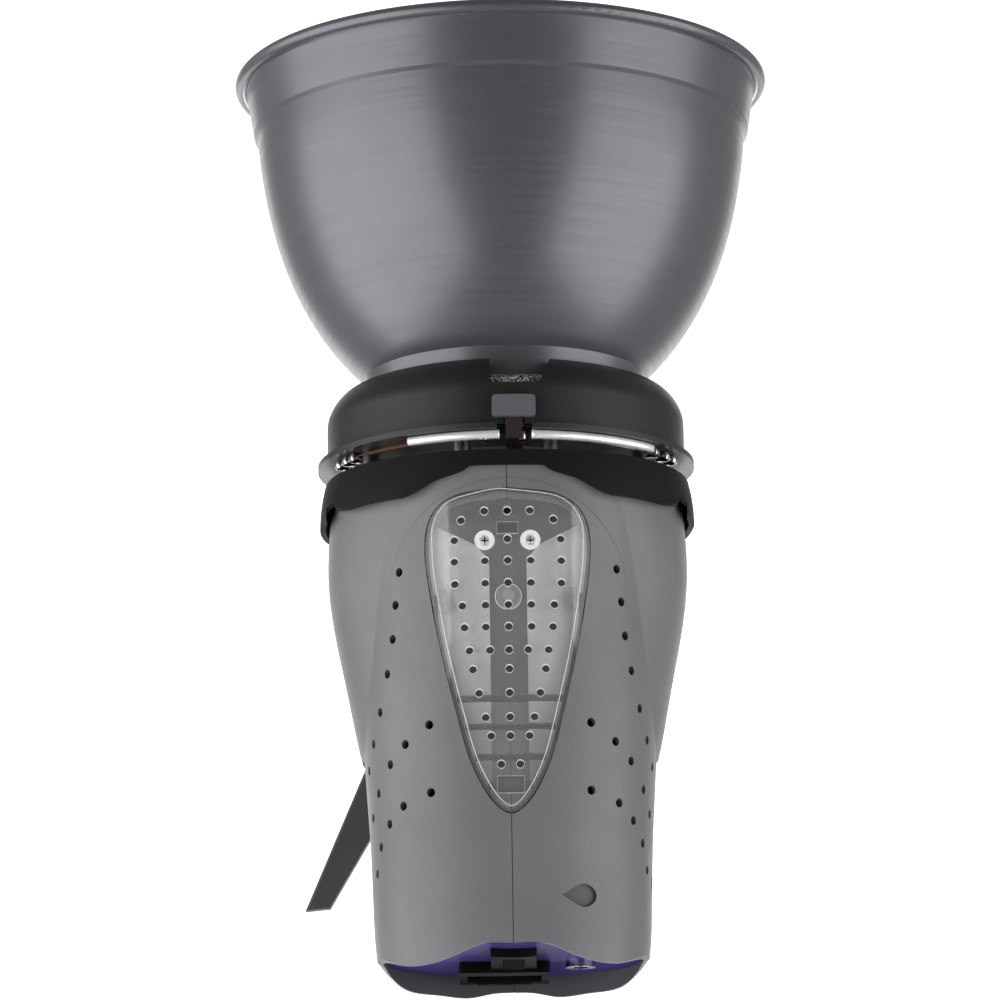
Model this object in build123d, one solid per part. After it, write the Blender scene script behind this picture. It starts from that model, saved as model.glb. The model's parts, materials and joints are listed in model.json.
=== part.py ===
from build123d import *

import math
import os

# A studio monolight strobe with its bayonet reflector, on a tilting stand bracket.
# Millimetres. +X is the right-hand side, +Y is the way the flash fires and +Z is up.
# The origin is the mouth of the socket that takes a light stand's 16 mm spigot.

# ---- Driving dimensions: stand bracket and tilt ----
SOCKET_R = 8.05
SOCKET_DEPTH = 38.0
RECEIVER_R = 16.5
RECEIVER_TOP = 30.0
PIVOT_Z = 52.0
TONGUE_HALF = 12.0
TONGUE_R = 15.0
BOLT_R = 5.0
RUNNING_GAP = 0.06
EAR_IN = 12.6
EAR_OUT = 20.0
YOKE_HALF_Y = 18.0
YOKE_UNDER = 68.0
UMBRELLA_R = 4.2
UMBRELLA_X = 30.0
UMBRELLA_Z = 68.0
STAND_SCREW_Z = 16.0

# ---- Driving dimensions: head ----
AXIS_Z = PIVOT_Z + 88.0
WALL = 2.5
SEAM_GAP = 0.3
DIMPLE_DEPTH = 1.5
CASING_FRONT = 82.9
FIT = 0.1
# Sections of the head: y, half width and half height about the optical axis.
SPINE = (
    (85.0, 62.0, 72.0),
    (58.0, 62.0, 70.5),
    (20.0, 61.5, 67.0),
    (-6.0, 61.0, 64.0),
    (-31.0, 59.8, 61.0),
    (-70.0, 57.4, 56.5),
    (-111.0, 55.6, 52.2),
    (-124.0, 53.0, 50.4),
)
FLARE = (
    (85.0, 73.0, 71.0),
    (58.0, 74.4, 68.4),
    (20.0, 71.4, 61.5),
    (-6.0, 66.2, 59.5),
    (-20.0, 63.5, 58.0),
    (-31.0, 61.0, 57.0),
)
SPINE_POWER = 2.5
FLARE_POWER = 2
SECTION_POINTS = 16

# Screw bosses across the casing: y and height from the optical axis.
CASING_BOSSES = ((55.0, -4.0), (55.0, -56.0), (-84.0, 10.0), (-84.0, -40.0))
BOSS_R = 5.0
# Wavy rear rims of the casing, above and below: distance from the centre line and y.
RIM_TOP = ((0, -112.6), (12, -112.8), (21, -116), (44, -119), (54, -114.4), (66, -113))
RIM_BOTTOM = ((0, -120), (9, -120.4), (18, -122.2), (32, -121.4), (46, -119.8), (54, -114), (66, -112))

# ---- Driving dimensions: clear cover and its pocket ----
COVER_THICK = 1.6
COVER_SKIRT = 4.6
POCKET_DEPTH = 7.0
POCKET_PLAY = 0.45
POCKET_WALL = 1.8
CHANNEL_DEPTH = 1.6
TRAY_FLOOR = 3.4
COVER_HALF_OUTLINE = (
    (14.0, 67.4), (25.4, 64.0), (31.0, 57.5), (33.1, 46.5), (31.4, 28.0), (26.3, 0.0), (20.0, -26.0),
    (11.4, -50.0),
)
COVER_TOP_Y = 68.8
COVER_TIP_Y = -61.3
COVER_HOLE_R = 1.7
COVER_SAMPLES = 36
# Rows of holes in the cover: y, then the distances from the centre line.
COVER_HOLES = (
    (59.6, (0.0, 9.2)),
    (56.1, (18.6,)),
    (48.2, (0.0, 9.2, 21.4)),
    (39.5, (0.0, 9.2, 21.5)),
    (30.5, (0.0, 9.2, 21.4)),
    (21.7, (0.0, 9.2, 18.5)),
    (12.9, (0.0, 9.2, 17.8)),
    (3.6, (0.0, 7.7, 15.9)),
    (-4.0, (0.0, 14.6)),
    (-13.5, (0.0, 12.3)),
    (-23.2, (0.0, 9.8)),
    (-30.7, (0.0, 7.7)),
    (-42.0, (3.8,)),
)
# Louvre slots in the pocket floor: y, length and width.
LOUVRES = ((-14.5, 42.5, 2.8), (-25.8, 36.2, 2.5), (-38.0, 28.6, 2.7), (-49.4, 18.4, 3.2))
COVER_SCREW = (9.3, 50.0)
PHOTOCELL_Y = 26.0

# ---- Driving dimensions: vents ----
VENT_R = 1.85
DRILLS_AT_ONCE = 6
# Three arcs of vent holes on each flank: distance from the centre line and y.
VENT_ARCS = (
    ((44.0, 38.0), (45.7, 25.0), (47.0, 11.5), (49.4, -2.0), (52.6, -16.4), (55.6, -28.0), (57.6, -37.5)),
    ((32.6, -25.0), (42.4, -31.6), (48.7, -38.4), (53.8, -48.4), (56.2, -57.0)),
    ((32.3, -52.0), (43.5, -56.0), (49.3, -62.0), (53.0, -70.0), (54.6, -80.0)),
)

# ---- Driving dimensions: front mount, as y along the axis and radius about it ----
BUMPER_FRONT = 84.2
FLANGE = (92.0, 94.3, 78.5)
HOOD_R = 74.5
RIVET_R = 1.6
RIVET_PLAY = 0.05
RIVET_CIRCLE_R = 53.0
TUBE_LEG_R = 4.0
TUBE_LEG_Z = -28.5
HOOD_BACK = 94.5
HOOD_SHOULDER = 110.0
HOOD_FRONT = 125.0
HOOD_MOUTH_R = 62.5
HOOD_WALL = 2.8
NOTCH_X = (-6.3, 14.0)
BUTTON_X = 3.3
STANDOFF_ANGLES = (15, 72, 108, 165, 225, 315)
STANDOFF_CIRCLE_R = 58.0
LUG_TURN = 30.0
LUG_WIDTH = 24.0

# ---- Driving dimensions: reflector ----
RIM_Y = 259.7
RIM_R = 109.8
BEAD_R = 2.7
SHEET = 1.5
NECK_R = 57.4
BOWL_BACK = 114.0

# ---- Driving dimensions: rear panel ----
PANEL_BACK = -112.8
PANEL_FRONT = -110.3
DIAL_PLACE = (38.0, 26.0)
DIAL_R = 7.0
TRIM_PLACE = (45.5, 14.0)
TRIM_R = 3.6
DIAL_GAP = 0.4
KEY_PLACES = (-47.0, -42.0, -37.0)
KEY_Z = 17.5
KEY_R = 1.7
LAMP_PLACE = (-29.0, 33.0)
JACK_PLACE = (27.4, -8.0)
PANEL_SCREWS = ((-16.0, -44.6), (9.0, -44.6))
INLET_PINS = ((-10.8, -24.6), (3.2, -24.6), (-3.8, -20.4))

# ---- Driving dimensions: inside the head, as x and height from the optical axis ----
CAN_PLACES = ((-18.5, -21.0), (18.5, -21.0), (-18.5, 14.0), (18.5, 14.0))
FAN_Z = -15.0


# ---- Building blocks ----
def block(x0, x1, y0, y1, z0, z1):
    """Box between two corners in the part's own frame."""
    centre = ((x0 + x1) / 2, (y0 + y1) / 2, (z0 + z1) / 2)
    return Pos(*centre) * Box(x1 - x0, y1 - y0, z1 - z0)


def head_block(x0, x1, y0, y1, z0, z1):
    """Box whose heights are measured from the optical axis."""
    return block(x0, x1, y0, y1, AXIS_Z + z0, AXIS_Z + z1)


def rod(radius, start, end):
    """Cylinder from one point to another."""
    run = Vector(*end) - Vector(*start)
    base = Plane(origin=start, z_dir=run)
    return base * Cylinder(radius, run.length, align=(Align.CENTER, Align.CENTER, Align.MIN))


def rod_x(radius, x0, x1, y, z):
    return rod(radius, (x0, y, z), (x1, y, z))


def rod_y(radius, y0, y1, x=0.0, z=0.0):
    """Cylinder along the flash direction, z measured from the optical axis."""
    return rod(radius, (x, y0, AXIS_Z + z), (x, y1, AXIS_Z + z))


def rod_z(radius, z0, z1, x=0.0, y=0.0):
    return rod(radius, (x, y, z0), (x, y, z1))


def pipe_y(outer, inner, y0, y1, x=0.0, z=0.0):
    return rod_y(outer, y0, y1, x, z) - rod_y(inner, y0 - 1, y1 + 1, x, z)


def on_axis(y, radius):
    return (0, y, AXIS_Z + radius)


def spin(*edges):
    """Solid of revolution about the optical axis from a closed outline above it."""
    axis = Axis((0, 0, AXIS_Z), (0, 1, 0))
    return revolve(make_face(list(edges)), axis=axis, revolution_arc=360)


def turned(outline):
    """Solid of revolution from straight runs between (y, radius) points."""
    return spin(*Polyline(*[on_axis(y, r) for y, r in outline], close=True).edges())


def around(part, angles, x=0.0, z=0.0):
    """Copies of a part turned about the axis along Y through x and z."""
    axis = Axis((x, 0, AXIS_Z + z), (0, 1, 0))
    return [part.rotate(axis, -angle) for angle in angles]


def oval(y, half_width, half_height, power):
    """Closed superellipse across the head; a power of 2 is a plain ellipse."""
    if power == 2:
        across_head = Plane(origin=on_axis(y, 0), x_dir=(1, 0, 0), z_dir=(0, -1, 0))
        return across_head * Ellipse(half_width, half_height)
    points = []
    for step in range(SECTION_POINTS):
        angle = 2 * math.pi * step / SECTION_POINTS
        across, up = math.cos(angle), math.sin(angle)
        x = half_width * math.copysign(abs(across) ** (2 / power), across)
        z = half_height * math.copysign(abs(up) ** (2 / power), up)
        points.append((x, y, AXIS_Z + z))
    return make_face(Spline(*points, periodic=True))


def form(stations, power, inset=0.0, front=0.0, rear=0.0):
    """Smooth solid through the stations, shrunk by inset, with its ends moved along y."""
    sections = []
    for number, (y, half_width, half_height) in enumerate(stations):
        if number == 0:
            y += front
        if number == len(stations) - 1:
            y += rear
        sections.append(oval(y, half_width - inset, half_height - inset, power))
    return loft(sections)


def spine(inset=0.0, front=0.0, rear=0.0):
    return form(SPINE, SPINE_POWER, inset, front, rear)


def flare(inset=0.0, front=0.0, rear=0.0):
    return form(FLARE, FLARE_POWER, inset, front, rear)


def hollow(inset):
    """Space inside the casing, inset from its outside."""
    return spine(inset, 3, -3) + flare(inset, 3, WALL)


def form_height(stations, power, x, y):
    """Height of a form's surface above the optical axis, or 0 outside it."""
    for (y1, w1, h1), (y0, w0, h0) in zip(stations, stations[1:]):
        if y0 <= y <= y1:
            share = (y - y0) / (y1 - y0)
            width, height = w0 + share * (w1 - w0), h0 + share * (h1 - h0)
            return height * max(0.0, 1 - (abs(x) / width) ** power) ** (1 / power)
    return 0.0


def surface_height(x, y):
    """Height of the casing above the optical axis."""
    return max(form_height(SPINE, SPINE_POWER, x, y), form_height(FLARE, FLARE_POWER, x, y))


# ---- Cover outline and pocket ----
def cover_face(grow):
    """Teardrop outline of the clear cover in plan, moved outwards by grow."""
    right = list(COVER_HALF_OUTLINE)
    left = [(-x, y) for x, y in reversed(right)]
    edge = Spline((0, COVER_TOP_Y), *right, (0, COVER_TIP_Y), *left, periodic=True)
    if grow == 0:
        return make_face(edge)
    moved = []
    for step in range(COVER_SAMPLES):
        along = edge % (step / COVER_SAMPLES)
        moved.append(edge @ (step / COVER_SAMPLES) + Vector(-along.Y, along.X) * grow)
    return make_face(Spline(*moved, periodic=True))


def cover_prism(grow):
    return extrude(Pos(0, 0, AXIS_Z + 20) * cover_face(grow), amount=70)


def make_pocket():
    """Space cleared above the floor of the tray under the cover."""
    return cover_prism(POCKET_PLAY) - spine(POCKET_DEPTH, 3, -3)


def make_channel():
    """Deeper channel along the middle of the tray, which widens at its front."""
    right = ((7.5, -56), (7.5, 41), (12.5, 47), (31, 57), (31, 75))
    left = [(-x, y) for x, y in reversed(right)]
    band = extrude(Pos(0, 0, AXIS_Z + 20) * make_face(Polyline(*right, *left, close=True)), amount=70)
    return (band & cover_prism(-2.4)) - spine(POCKET_DEPTH + CHANNEL_DEPTH, 3, -3)


def make_core():
    """Space inside the casing, short of the cover's tray and the screw bosses."""
    core = hollow(WALL) - (cover_prism(POCKET_WALL) - spine(POCKET_DEPTH + TRAY_FLOOR, 5, -5))
    for y, z in CASING_BOSSES:
        core = core - rod_x(BOSS_R, -80, 80, y, AXIS_Z + z)
    return core


# ---- Casing ----
def rim_cutter(outline, up):
    """Everything behind the wavy rear rim, above or below the axis."""
    right = [(x, y) for x, y in outline]
    left = [(-x, y) for x, y in reversed(right[1:])]
    edge = Spline(*left, *right)
    back = Polyline((right[-1][0], right[-1][1]), (80, -140), (-80, -140), (left[0][0], left[0][1]))
    face = make_face([*edge.edges(), *back.edges()])
    return extrude(Pos(0, 0, AXIS_Z) * face, amount=80 if up else -80)


def vent_drills():
    """Drills for the right flank's vent holes, square to the casing, top and bottom."""
    drills = []
    for arc in VENT_ARCS:
        for x, y in arc:
            z = surface_height(x, y)
            reach = math.hypot(x, z)
            for up in (-1, 1):
                out = (x * (1 + 5 / reach), y, AXIS_Z + up * z * (1 + 5 / reach))
                back = (x * (1 - 7 / reach), y, AXIS_Z + up * z * (1 - 7 / reach))
                drills.append(rod(VENT_R, back, out))
    return drills


def thumb_dimple():
    """Drop-shaped recess on the right shell, its point towards the seam."""
    half = Spline((19.6, -94), (24.6, -90.9), (29.0, -89.4), (32.4, -91.2), (33.6, -94))
    face = make_face([*half.edges(), *half.mirror(Plane.XZ).moved(Pos(0, -188, 0)).edges()])
    return extrude(Pos(0, 0, AXIS_Z + 20) * face, amount=70) - spine(DIMPLE_DEPTH, 3, -3)


def make_half_shell():
    """The right-hand shell without its own details, ready to be mirrored."""
    shell = (spine() + flare()) & head_block(SEAM_GAP / 2, 90, -140, CASING_FRONT, -90, 90)
    shell = shell - rim_cutter(RIM_TOP, True) - rim_cutter(RIM_BOTTOM, False)
    shell = shell - make_core() - make_pocket() - make_channel()
    for y, length, width in LOUVRES:
        shell = shell - head_block(-1, length / 2, y - width / 2, y + width / 2, 30, 56)
    shell = shell - rod_z(1.6, AXIS_Z + 45, AXIS_Z + 68, *COVER_SCREW)
    shell = shell - rod_z(3.2, AXIS_Z + 45, AXIS_Z + 68, 0, PHOTOCELL_Y)
    for y in (-12, 12):
        shell = shell - rod_z(2.6, 60, 86, 8, y)
    drills = vent_drills()
    for start in range(0, len(drills), DRILLS_AT_ONCE):
        shell = shell - drills[start:start + DRILLS_AT_ONCE]
    return shell


def make_casings():
    """Both shells: the screws go in from the right and end in the left shell's bosses."""
    right = make_half_shell()
    left = mirror(right, about=Plane.YZ)
    for y, z in CASING_BOSSES:
        right = right - rod_x(1.75, 0, 23, y, AXIS_Z + z) - rod_x(3.8, 22.5, 80, y, AXIS_Z + z)
        left = left - rod_x(1.75, -24, 0, y, AXIS_Z + z)
    return left, right - thumb_dimple()


def make_casing_screws():
    screws = []
    for y, z in CASING_BOSSES:
        shank = rod_x(1.7, -22, 23, y, AXIS_Z + z)
        head = rod_x(3.4, 22.6, 25.6, y, AXIS_Z + z)
        slot = block(24.6, 27, y - 2.4, y + 2.4, AXIS_Z + z - 0.4, AXIS_Z + z + 0.4)
        screws.append(shank + head - slot)
    return screws


# ---- Front bumper and bulkhead ----
def bumper_cutter():
    """Everything behind the band's scalloped rear edge, short of the side lobes."""
    right = ((15, 78), (17.5, 76.2), (28, 73), (38, 68.2), (48, 66.2), (60, 66.4), (69.5, 68.6))
    edge = Spline(*right)
    arcs = [edge, Line((0, 78), (15, 78))]
    arcs += Polyline((69.5, 68.6), (71, 72), (74.3, 72), (74.3, 40), (0, 40), (0, 78)).edges()
    face = make_face(arcs)
    half = extrude(Pos(0, 0, AXIS_Z - 90) * face, amount=180)
    return half + mirror(half, about=Plane.YZ)


def make_bumper():
    sections = (BUMPER_FRONT, 75.6, 74.0), (76.0, 77.2, 74.6), (67.0, 77.8, 74.9)
    outer = form(sections, 2.2)
    inner_sections = (83.0, 73.6, 71.5), (76.0, 74.8, 72.0), (67.0, 75.4, 72.3)
    inner = form(inner_sections, 2.2, rear=-5)
    mouth = loft([oval(80, 66, 64, 2.2), oval(90, 66, 64, 2.2)])
    band = outer - inner - mouth - spine(-FIT) - flare(-FIT)
    lip = (outer & block(-90, 90, CASING_FRONT + FIT, BUMPER_FRONT, 0, 300)) - mouth
    return band + lip - bumper_cutter()


def make_bulkhead():
    plate = hollow(WALL + 0.2) & block(-90, 90, 79.5, 82.5, 0, 300)
    plate = plate - rod_y(14, 75, 85)
    for x, z in standoff_places():
        plate = plate - rod_y(1.8, 75, 85, x, z)
    return plate


def standoff_places():
    """Places of the posts between bulkhead and flange, as x and height from the axis."""
    angles = [math.radians(angle) for angle in STANDOFF_ANGLES]
    return [(STANDOFF_CIRCLE_R * math.cos(a), STANDOFF_CIRCLE_R * math.sin(a)) for a in angles]


def make_standoffs():
    posts = []
    for x, z in standoff_places():
        posts.append(rod_y(3.6, 82.5, FLANGE[0], x, z) + rod_y(1.7, 76, 83, x, z))
    return posts


# ---- Bayonet mount ----
def make_flange():
    start, end, radius = FLANGE
    disc = pipe_y(radius, 46.0, start, end)
    disc = disc - head_block(-3.6, 10.6, start - 1, end + 1, 69, 90)
    disc = disc - rod_y(2.1, start - 1, end + 1, BUTTON_X, 52.5)
    return disc


def make_hood():
    outer = Polyline(
        on_axis(HOOD_BACK, HOOD_R - HOOD_WALL), on_axis(HOOD_BACK, HOOD_R), on_axis(HOOD_SHOULDER, HOOD_R),
    )
    crown = Spline(
        on_axis(HOOD_SHOULDER, HOOD_R), on_axis(116.6, 72.9), on_axis(122.4, 68.5),
        on_axis(HOOD_FRONT, HOOD_MOUTH_R),
        tangents=((0, 1, 0), (0, 0.25, -1)),
    )
    lip = Line(on_axis(HOOD_FRONT, HOOD_MOUTH_R), on_axis(HOOD_FRONT - HOOD_WALL, HOOD_MOUTH_R))
    inner_crown = Spline(
        on_axis(HOOD_FRONT - HOOD_WALL, HOOD_MOUTH_R), on_axis(119.6, 67.0), on_axis(114.8, 70.5),
        on_axis(HOOD_SHOULDER - 1, HOOD_R - HOOD_WALL),
        tangents=((0, -0.25, 1), (0, -1, 0)),
    )
    inner = Line(on_axis(HOOD_SHOULDER - 1, HOOD_R - HOOD_WALL), on_axis(HOOD_BACK, HOOD_R - HOOD_WALL))
    hood = spin(*outer.edges(), crown, lip, inner_crown, inner)
    x0, x1 = NOTCH_X
    notch_outline = Polyline((x0, 112), (x1, 112), (x1 + 5.2, 126), (x0, 126), close=True)
    notch = extrude(Pos(0, 0, AXIS_Z + 50) * make_face(notch_outline), amount=40)
    back_cut = head_block(BUTTON_X - 4.2, BUTTON_X + 4.2, 90, 96.5, 60, 90)
    return hood - notch - back_cut


def make_bayonet_ring():
    outline = (
        (94.4, 48.5), (94.4, 70), (110, 70), (110.6, 66), (116.4, 66), (117.6, 64.8), (117.6, 58.8),
        (112.5, 58.8), (112.5, 50.2), (107, 50.2), (107, 56.5), (97, 56.5), (97, 48.5),
    )
    ring = turned(outline)
    gate = sector(50, 56.4, 106, 114, LUG_WIDTH + 6)
    ring = ring - around(gate, (90 + LUG_TURN, 210 + LUG_TURN, 330 + LUG_TURN))
    return ring - rod_y(2.1, 90, 99, BUTTON_X, 52.5)


def sector(inner, outer, y0, y1, width):
    """Part of a ring about the optical axis, centred on +X, width in degrees."""
    ring = pipe_y(outer, inner, y0, y1)
    half = math.radians(width / 2)
    far = outer * 1.4
    wedge_face = make_face(Polyline(
        (0, y0 - 1, AXIS_Z), (far * math.cos(half), y0 - 1, AXIS_Z + far * math.sin(half)),
        (far * math.cos(half), y0 - 1, AXIS_Z - far * math.sin(half)), close=True,
    ))
    return ring & extrude(wedge_face, amount=y1 - y0 + 2, dir=(0, 1, 0))


# ---- Release catch ----
def make_release():
    """Grey button on the hood, the strap under it and the lock pin it draws back."""
    strap_half = 3.4
    pad = head_block(BUTTON_X - 8.85, BUTTON_X + 8.85, 97, 106, 60, 90)
    pad = fillet(pad.edges().filter_by(Axis.Z), 1.6)
    button = pad & pipe_y(77.9, HOOD_R + 0.2, 90, 110)
    top = head_block(BUTTON_X - strap_half, BUTTON_X + strap_half, 88.2, 103, 60, 90)
    leg = head_block(BUTTON_X - strap_half, BUTTON_X + strap_half, 88.2, 89.4, 49.0, 75.2)
    strap = (top & pipe_y(HOOD_R + 1.2, HOOD_R + 0.2, 80, 110)) + leg
    strap = fillet(strap.edges().filter_by(Axis.X).sort_by(Axis.Z)[-2:], 0.4)
    return button - strap, strap, rod_y(1.75, 89.4, 98.0, BUTTON_X, 52.5)


def make_release_spring():
    """Light coil between the bulkhead and the strap's leg."""
    wire, coil = 0.3, 2.4
    path = Plane(origin=(BUTTON_X, 82.9, AXIS_Z + 52.5), z_dir=(0, 1, 0)) * Helix(1.2, 4.8, coil)
    section = Plane(origin=path @ 0, z_dir=path % 0) * Circle(wire)
    return sweep(section, path=path)


# ---- Reflector ----
def make_bowl():
    """Spun bowl with a rolled rim, a step below it and a short neck."""
    neck = Polyline(on_axis(BOWL_BACK, 49.8), on_axis(BOWL_BACK, NECK_R), on_axis(131.5, 58.8))
    bowl = Spline(
        on_axis(131.5, 58.8), on_axis(148, 73.8), on_axis(173.5, 88.5), on_axis(207, 98.9),
        on_axis(237, 103.2),
    )
    step = Polyline(
        on_axis(237, 103.2), on_axis(238.4, 104.7), on_axis(258.4, 107.9), on_axis(258.6, 107.9 - SHEET),
    )
    back_step = Polyline(
        on_axis(258.6, 107.9 - SHEET), on_axis(239.2, 104.7 - SHEET), on_axis(237.4, 103.2 - SHEET),
    )
    inner = Spline(
        on_axis(237.4, 103.2 - SHEET), on_axis(207, 98.9 - SHEET), on_axis(173.5, 88.5 - SHEET),
        on_axis(149.4, 73.8 - SHEET), on_axis(132.8, 58.8 - SHEET),
    )
    floor = Polyline(
        on_axis(132.8, 58.8 - SHEET), on_axis(BOWL_BACK + SHEET, NECK_R - SHEET),
        on_axis(BOWL_BACK + SHEET, 49.8), on_axis(BOWL_BACK, 49.8),
    )
    shell = spin(*neck.edges(), bowl, *step.edges(), *back_step.edges(), inner, *floor.edges())
    bead = spin(*(Plane(origin=on_axis(RIM_Y, RIM_R), z_dir=(1, 0, 0)) * Circle(BEAD_R)).edges())
    return shell + bead


def make_collar():
    """Steel collar with three lugs, riveted inside the bowl's neck."""
    tube = turned(((99, 46.6), (99, 49.6), (115.6, 49.6), (115.6, 55.5), (116.8, 55.5), (116.8, 46.6)))
    lug = sector(49.0, 54.6, 100.2, 104.0, LUG_WIDTH)
    return tube + around(lug, (90, 210, 330))


def rivet_holes():
    """Drills for the rivets through the bowl's floor and the collar."""
    return around(rod_y(RIVET_R + RIVET_PLAY, 110, 116.9, RIVET_CIRCLE_R), range(0, 360, 60))


def make_rivets():
    shank = rod_y(RIVET_R, 112.9, 116.9, RIVET_CIRCLE_R)
    head = rod_y(2.4, 116.9, 117.8, RIVET_CIRCLE_R)
    return around(shank + head, range(0, 360, 60))


# ---- Lamps ----
def make_tube_base():
    base = turned(((83, 15.4), (83, 42), (97, 42), (100, 39), (100, 15.4)))
    for x in (-5.5, 5.5):
        base = base - rod_y(TUBE_LEG_R + 0.2, 88, 101, x, TUBE_LEG_Z)
    return base


def make_flash_tube():
    """Ring flash tube, open at the bottom, on two straight legs."""
    section = Plane(origin=on_axis(116, 29), z_dir=(1, 0, 0)) * Circle(4.0)
    axis = Axis((0, 0, AXIS_Z), (0, 1, 0))
    ring = revolve(section, axis=axis, revolution_arc=338).rotate(axis, -169)
    legs = [rod_y(TUBE_LEG_R, 88.2, 116, x, TUBE_LEG_Z) for x in (-5.5, 5.5)]
    return ring + legs


def make_lampholder():
    return turned(((83, 0), (83, 15.2), (104, 15.2), (104, 11.3), (88, 11.3), (88, 0)))


def make_lamp_cap():
    return turned(((88.4, 0), (88.4, 11), (106, 11), (106, 9.4), (90, 9.4), (90, 0)))


def make_bulb():
    """Tubular glass bulb with a domed end."""
    side = Polyline(
        on_axis(146, 0), on_axis(98, 0), on_axis(98, 9.2), on_axis(107, 9.2), on_axis(113, 13.5),
        on_axis(132, 13.5),
    )
    dome = Spline(on_axis(132, 13.5), on_axis(143, 8.6), on_axis(146, 0), tangents=((0, 1, 0), (0, 0, -1)))
    return spin(*side.edges(), dome)


# ---- Inside the head ----
def make_capacitors():
    return [chamfer(rod_y(16.5, -24, 46, x, z).edges(), 0.8) for x, z in CAN_PLACES]


def make_main_board():
    return head_block(-34, 34, -77, 50, -43.0, -41.4)


def make_charging_coil():
    return rod_z(15, AXIS_Z - 41.2, AXIS_Z - 27, 0, -50) - rod_z(6.5, AXIS_Z - 50, AXIS_Z - 20, 0, -50)


def make_control_board():
    board = head_block(-46, 46, -106, -104.4, 2, 41) & spine(WALL + 1, 3, -3)
    return board - head_block(-10.5, 10.5, -110, -100, 0, 36.5)


def make_fan_frame():
    frame = head_block(-20, 20, 63, 73, FAN_Z - 20, FAN_Z + 20) - rod_y(18.6, 60, 76, 0, FAN_Z)
    spokes = [head_block(-19.5, 19.5, 63, 64.4, FAN_Z - 1.2, FAN_Z + 1.2)]
    spokes += [head_block(-1.2, 1.2, 63, 64.4, FAN_Z - 19.5, FAN_Z + 19.5)]
    return frame + spokes + rod_y(8, 63, 64.4, 0, FAN_Z) + rod_y(1.5, 63, 70, 0, FAN_Z)


def make_fan_rotor():
    hub = rod_y(8, 65, 72, 0, FAN_Z) - rod_y(1.56, 60, 70.2, 0, FAN_Z)
    blade = head_block(7, 17.6, 65.6, 71.4, FAN_Z - 0.7, FAN_Z + 0.7)
    blade = blade.rotate(Axis((12, 68.5, AXIS_Z + FAN_Z), (1, 0, 0)), 38)
    return hub + around(blade, range(0, 360, 52), 0, FAN_Z)[:7]


# ---- Rear panel and controls ----
def make_rear_panel():
    panel = spine(WALL + 0.25, 3, -3) & block(-90, 90, PANEL_BACK, PANEL_FRONT, 0, 300)
    panel = panel - head_block(-5.2, 5.2, -120, -100, 4, 30)
    panel = panel - head_block(-20, 12.4, -120, -100, -38.4, -12.4)
    panel = panel - rod_y(4.3, -120, -100, *JACK_PLACE)
    panel = panel - rod_y(DIAL_R + DIAL_GAP, -120, -100, *DIAL_PLACE)
    panel = panel - rod_y(TRIM_R + DIAL_GAP, -120, -100, *TRIM_PLACE)
    panel = panel - head_block(-43.2, -32.8, -120, -100, 23.8, 31.2) - rod_y(1.8, -120, -100, *LAMP_PLACE)
    for x in KEY_PLACES:
        panel = panel - rod_y(KEY_R + 0.15, -120, -100, x, KEY_Z)
    for x, z in PANEL_SCREWS:
        panel = panel - rod_y(1.6, -120, -100, x, z)
    return panel


def make_panel_screws():
    screws = []
    for x, z in PANEL_SCREWS:
        head = rod_y(2.8, PANEL_BACK - 1.2, PANEL_BACK, x, z)
        slot = head_block(x - 2.2, x + 2.2, -116, PANEL_BACK - 0.6, z - 0.4, z + 0.4)
        screws.append(rod_y(1.5, PANEL_BACK, -102, x, z) + head - slot)
    return screws


def make_switch_bezel():
    """Guarded frame round the power switch, with a hollowed top."""
    frame = head_block(-9.25, 9.25, PANEL_BACK - 3.6, PANEL_BACK, -3, 37)
    frame = frame - rod(14, (0, -118.5, AXIS_Z + 47.6), (0, -110, AXIS_Z + 47.6))
    body = head_block(-5.1, 5.1, PANEL_BACK, -96, 4.1, 29.9)
    cavity = head_block(-4.35, 4.35, -120, -99, 6, 28)
    return frame + body - cavity


def make_rocker():
    """Rocker cap, tipped outwards at its lower end while the power is off."""
    lens = rod_x(6.2, -4.2, 4.2, -110.4, AXIS_Z + 17)
    cap = head_block(-4.2, 4.2, -117.0, -109.0, 8.2, 25.8)
    cap = cap.rotate(Axis((0, -110.4, AXIS_Z + 17), (1, 0, 0)), -8)
    return cap + lens


def make_inlet():
    """Recessed mains inlet with a fuse drawer below its cavity."""
    x0, x1 = -22.3, 14.7
    shell = head_block(x0, x1, PANEL_BACK - 4.8, PANEL_BACK, -40, -3.5)
    shell = chamfer(shell.edges().filter_by(Axis.Y), 1.2)
    body = head_block(-19.8, 12.2, PANEL_BACK, -92, -38.2, -12.6)
    cavity = head_block(-19.1, 11.5, -120, -97, -33, -14)
    drawer_slot = head_block(-15.2, 7.6, -120, -98, -38.6, -34.6)
    pins = [head_block(x - 1.1, x + 1.1, -100, -90, z - 2.1, z + 2.1) for x, z in INLET_PINS]
    return shell + body - cavity - drawer_slot - pins


def make_inlet_pins():
    return [head_block(x - 1.0, x + 1.0, -112, -90, z - 2.0, z + 2.0) for x, z in INLET_PINS]


def make_fuse_drawer():
    drawer = head_block(-15.0, 7.4, -118.2, -98.2, -38.4, -34.8)
    return drawer - head_block(-6.5, -1.1, -119, -117.6, -37.6, -35.6)


def make_sync_jack():
    """Threaded socket with a round nut on the panel."""
    x, z = JACK_PLACE
    nut = rod_y(6.15, PANEL_BACK - 2.6, PANEL_BACK, x, z)
    notches = [head_block(x - 0.8, x + 0.8, -118, PANEL_BACK - 1.2, z + 4.4, z + 8)]
    notches = around(notches[0], (0, 180), x, z)
    return nut + rod_y(4.2, PANEL_BACK, -98, x, z) - rod_y(3.15, -118, -100, x, z) - notches


def make_display():
    return head_block(-43, -33, PANEL_BACK - 0.2, PANEL_FRONT + 1.0, 24, 31)


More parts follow.
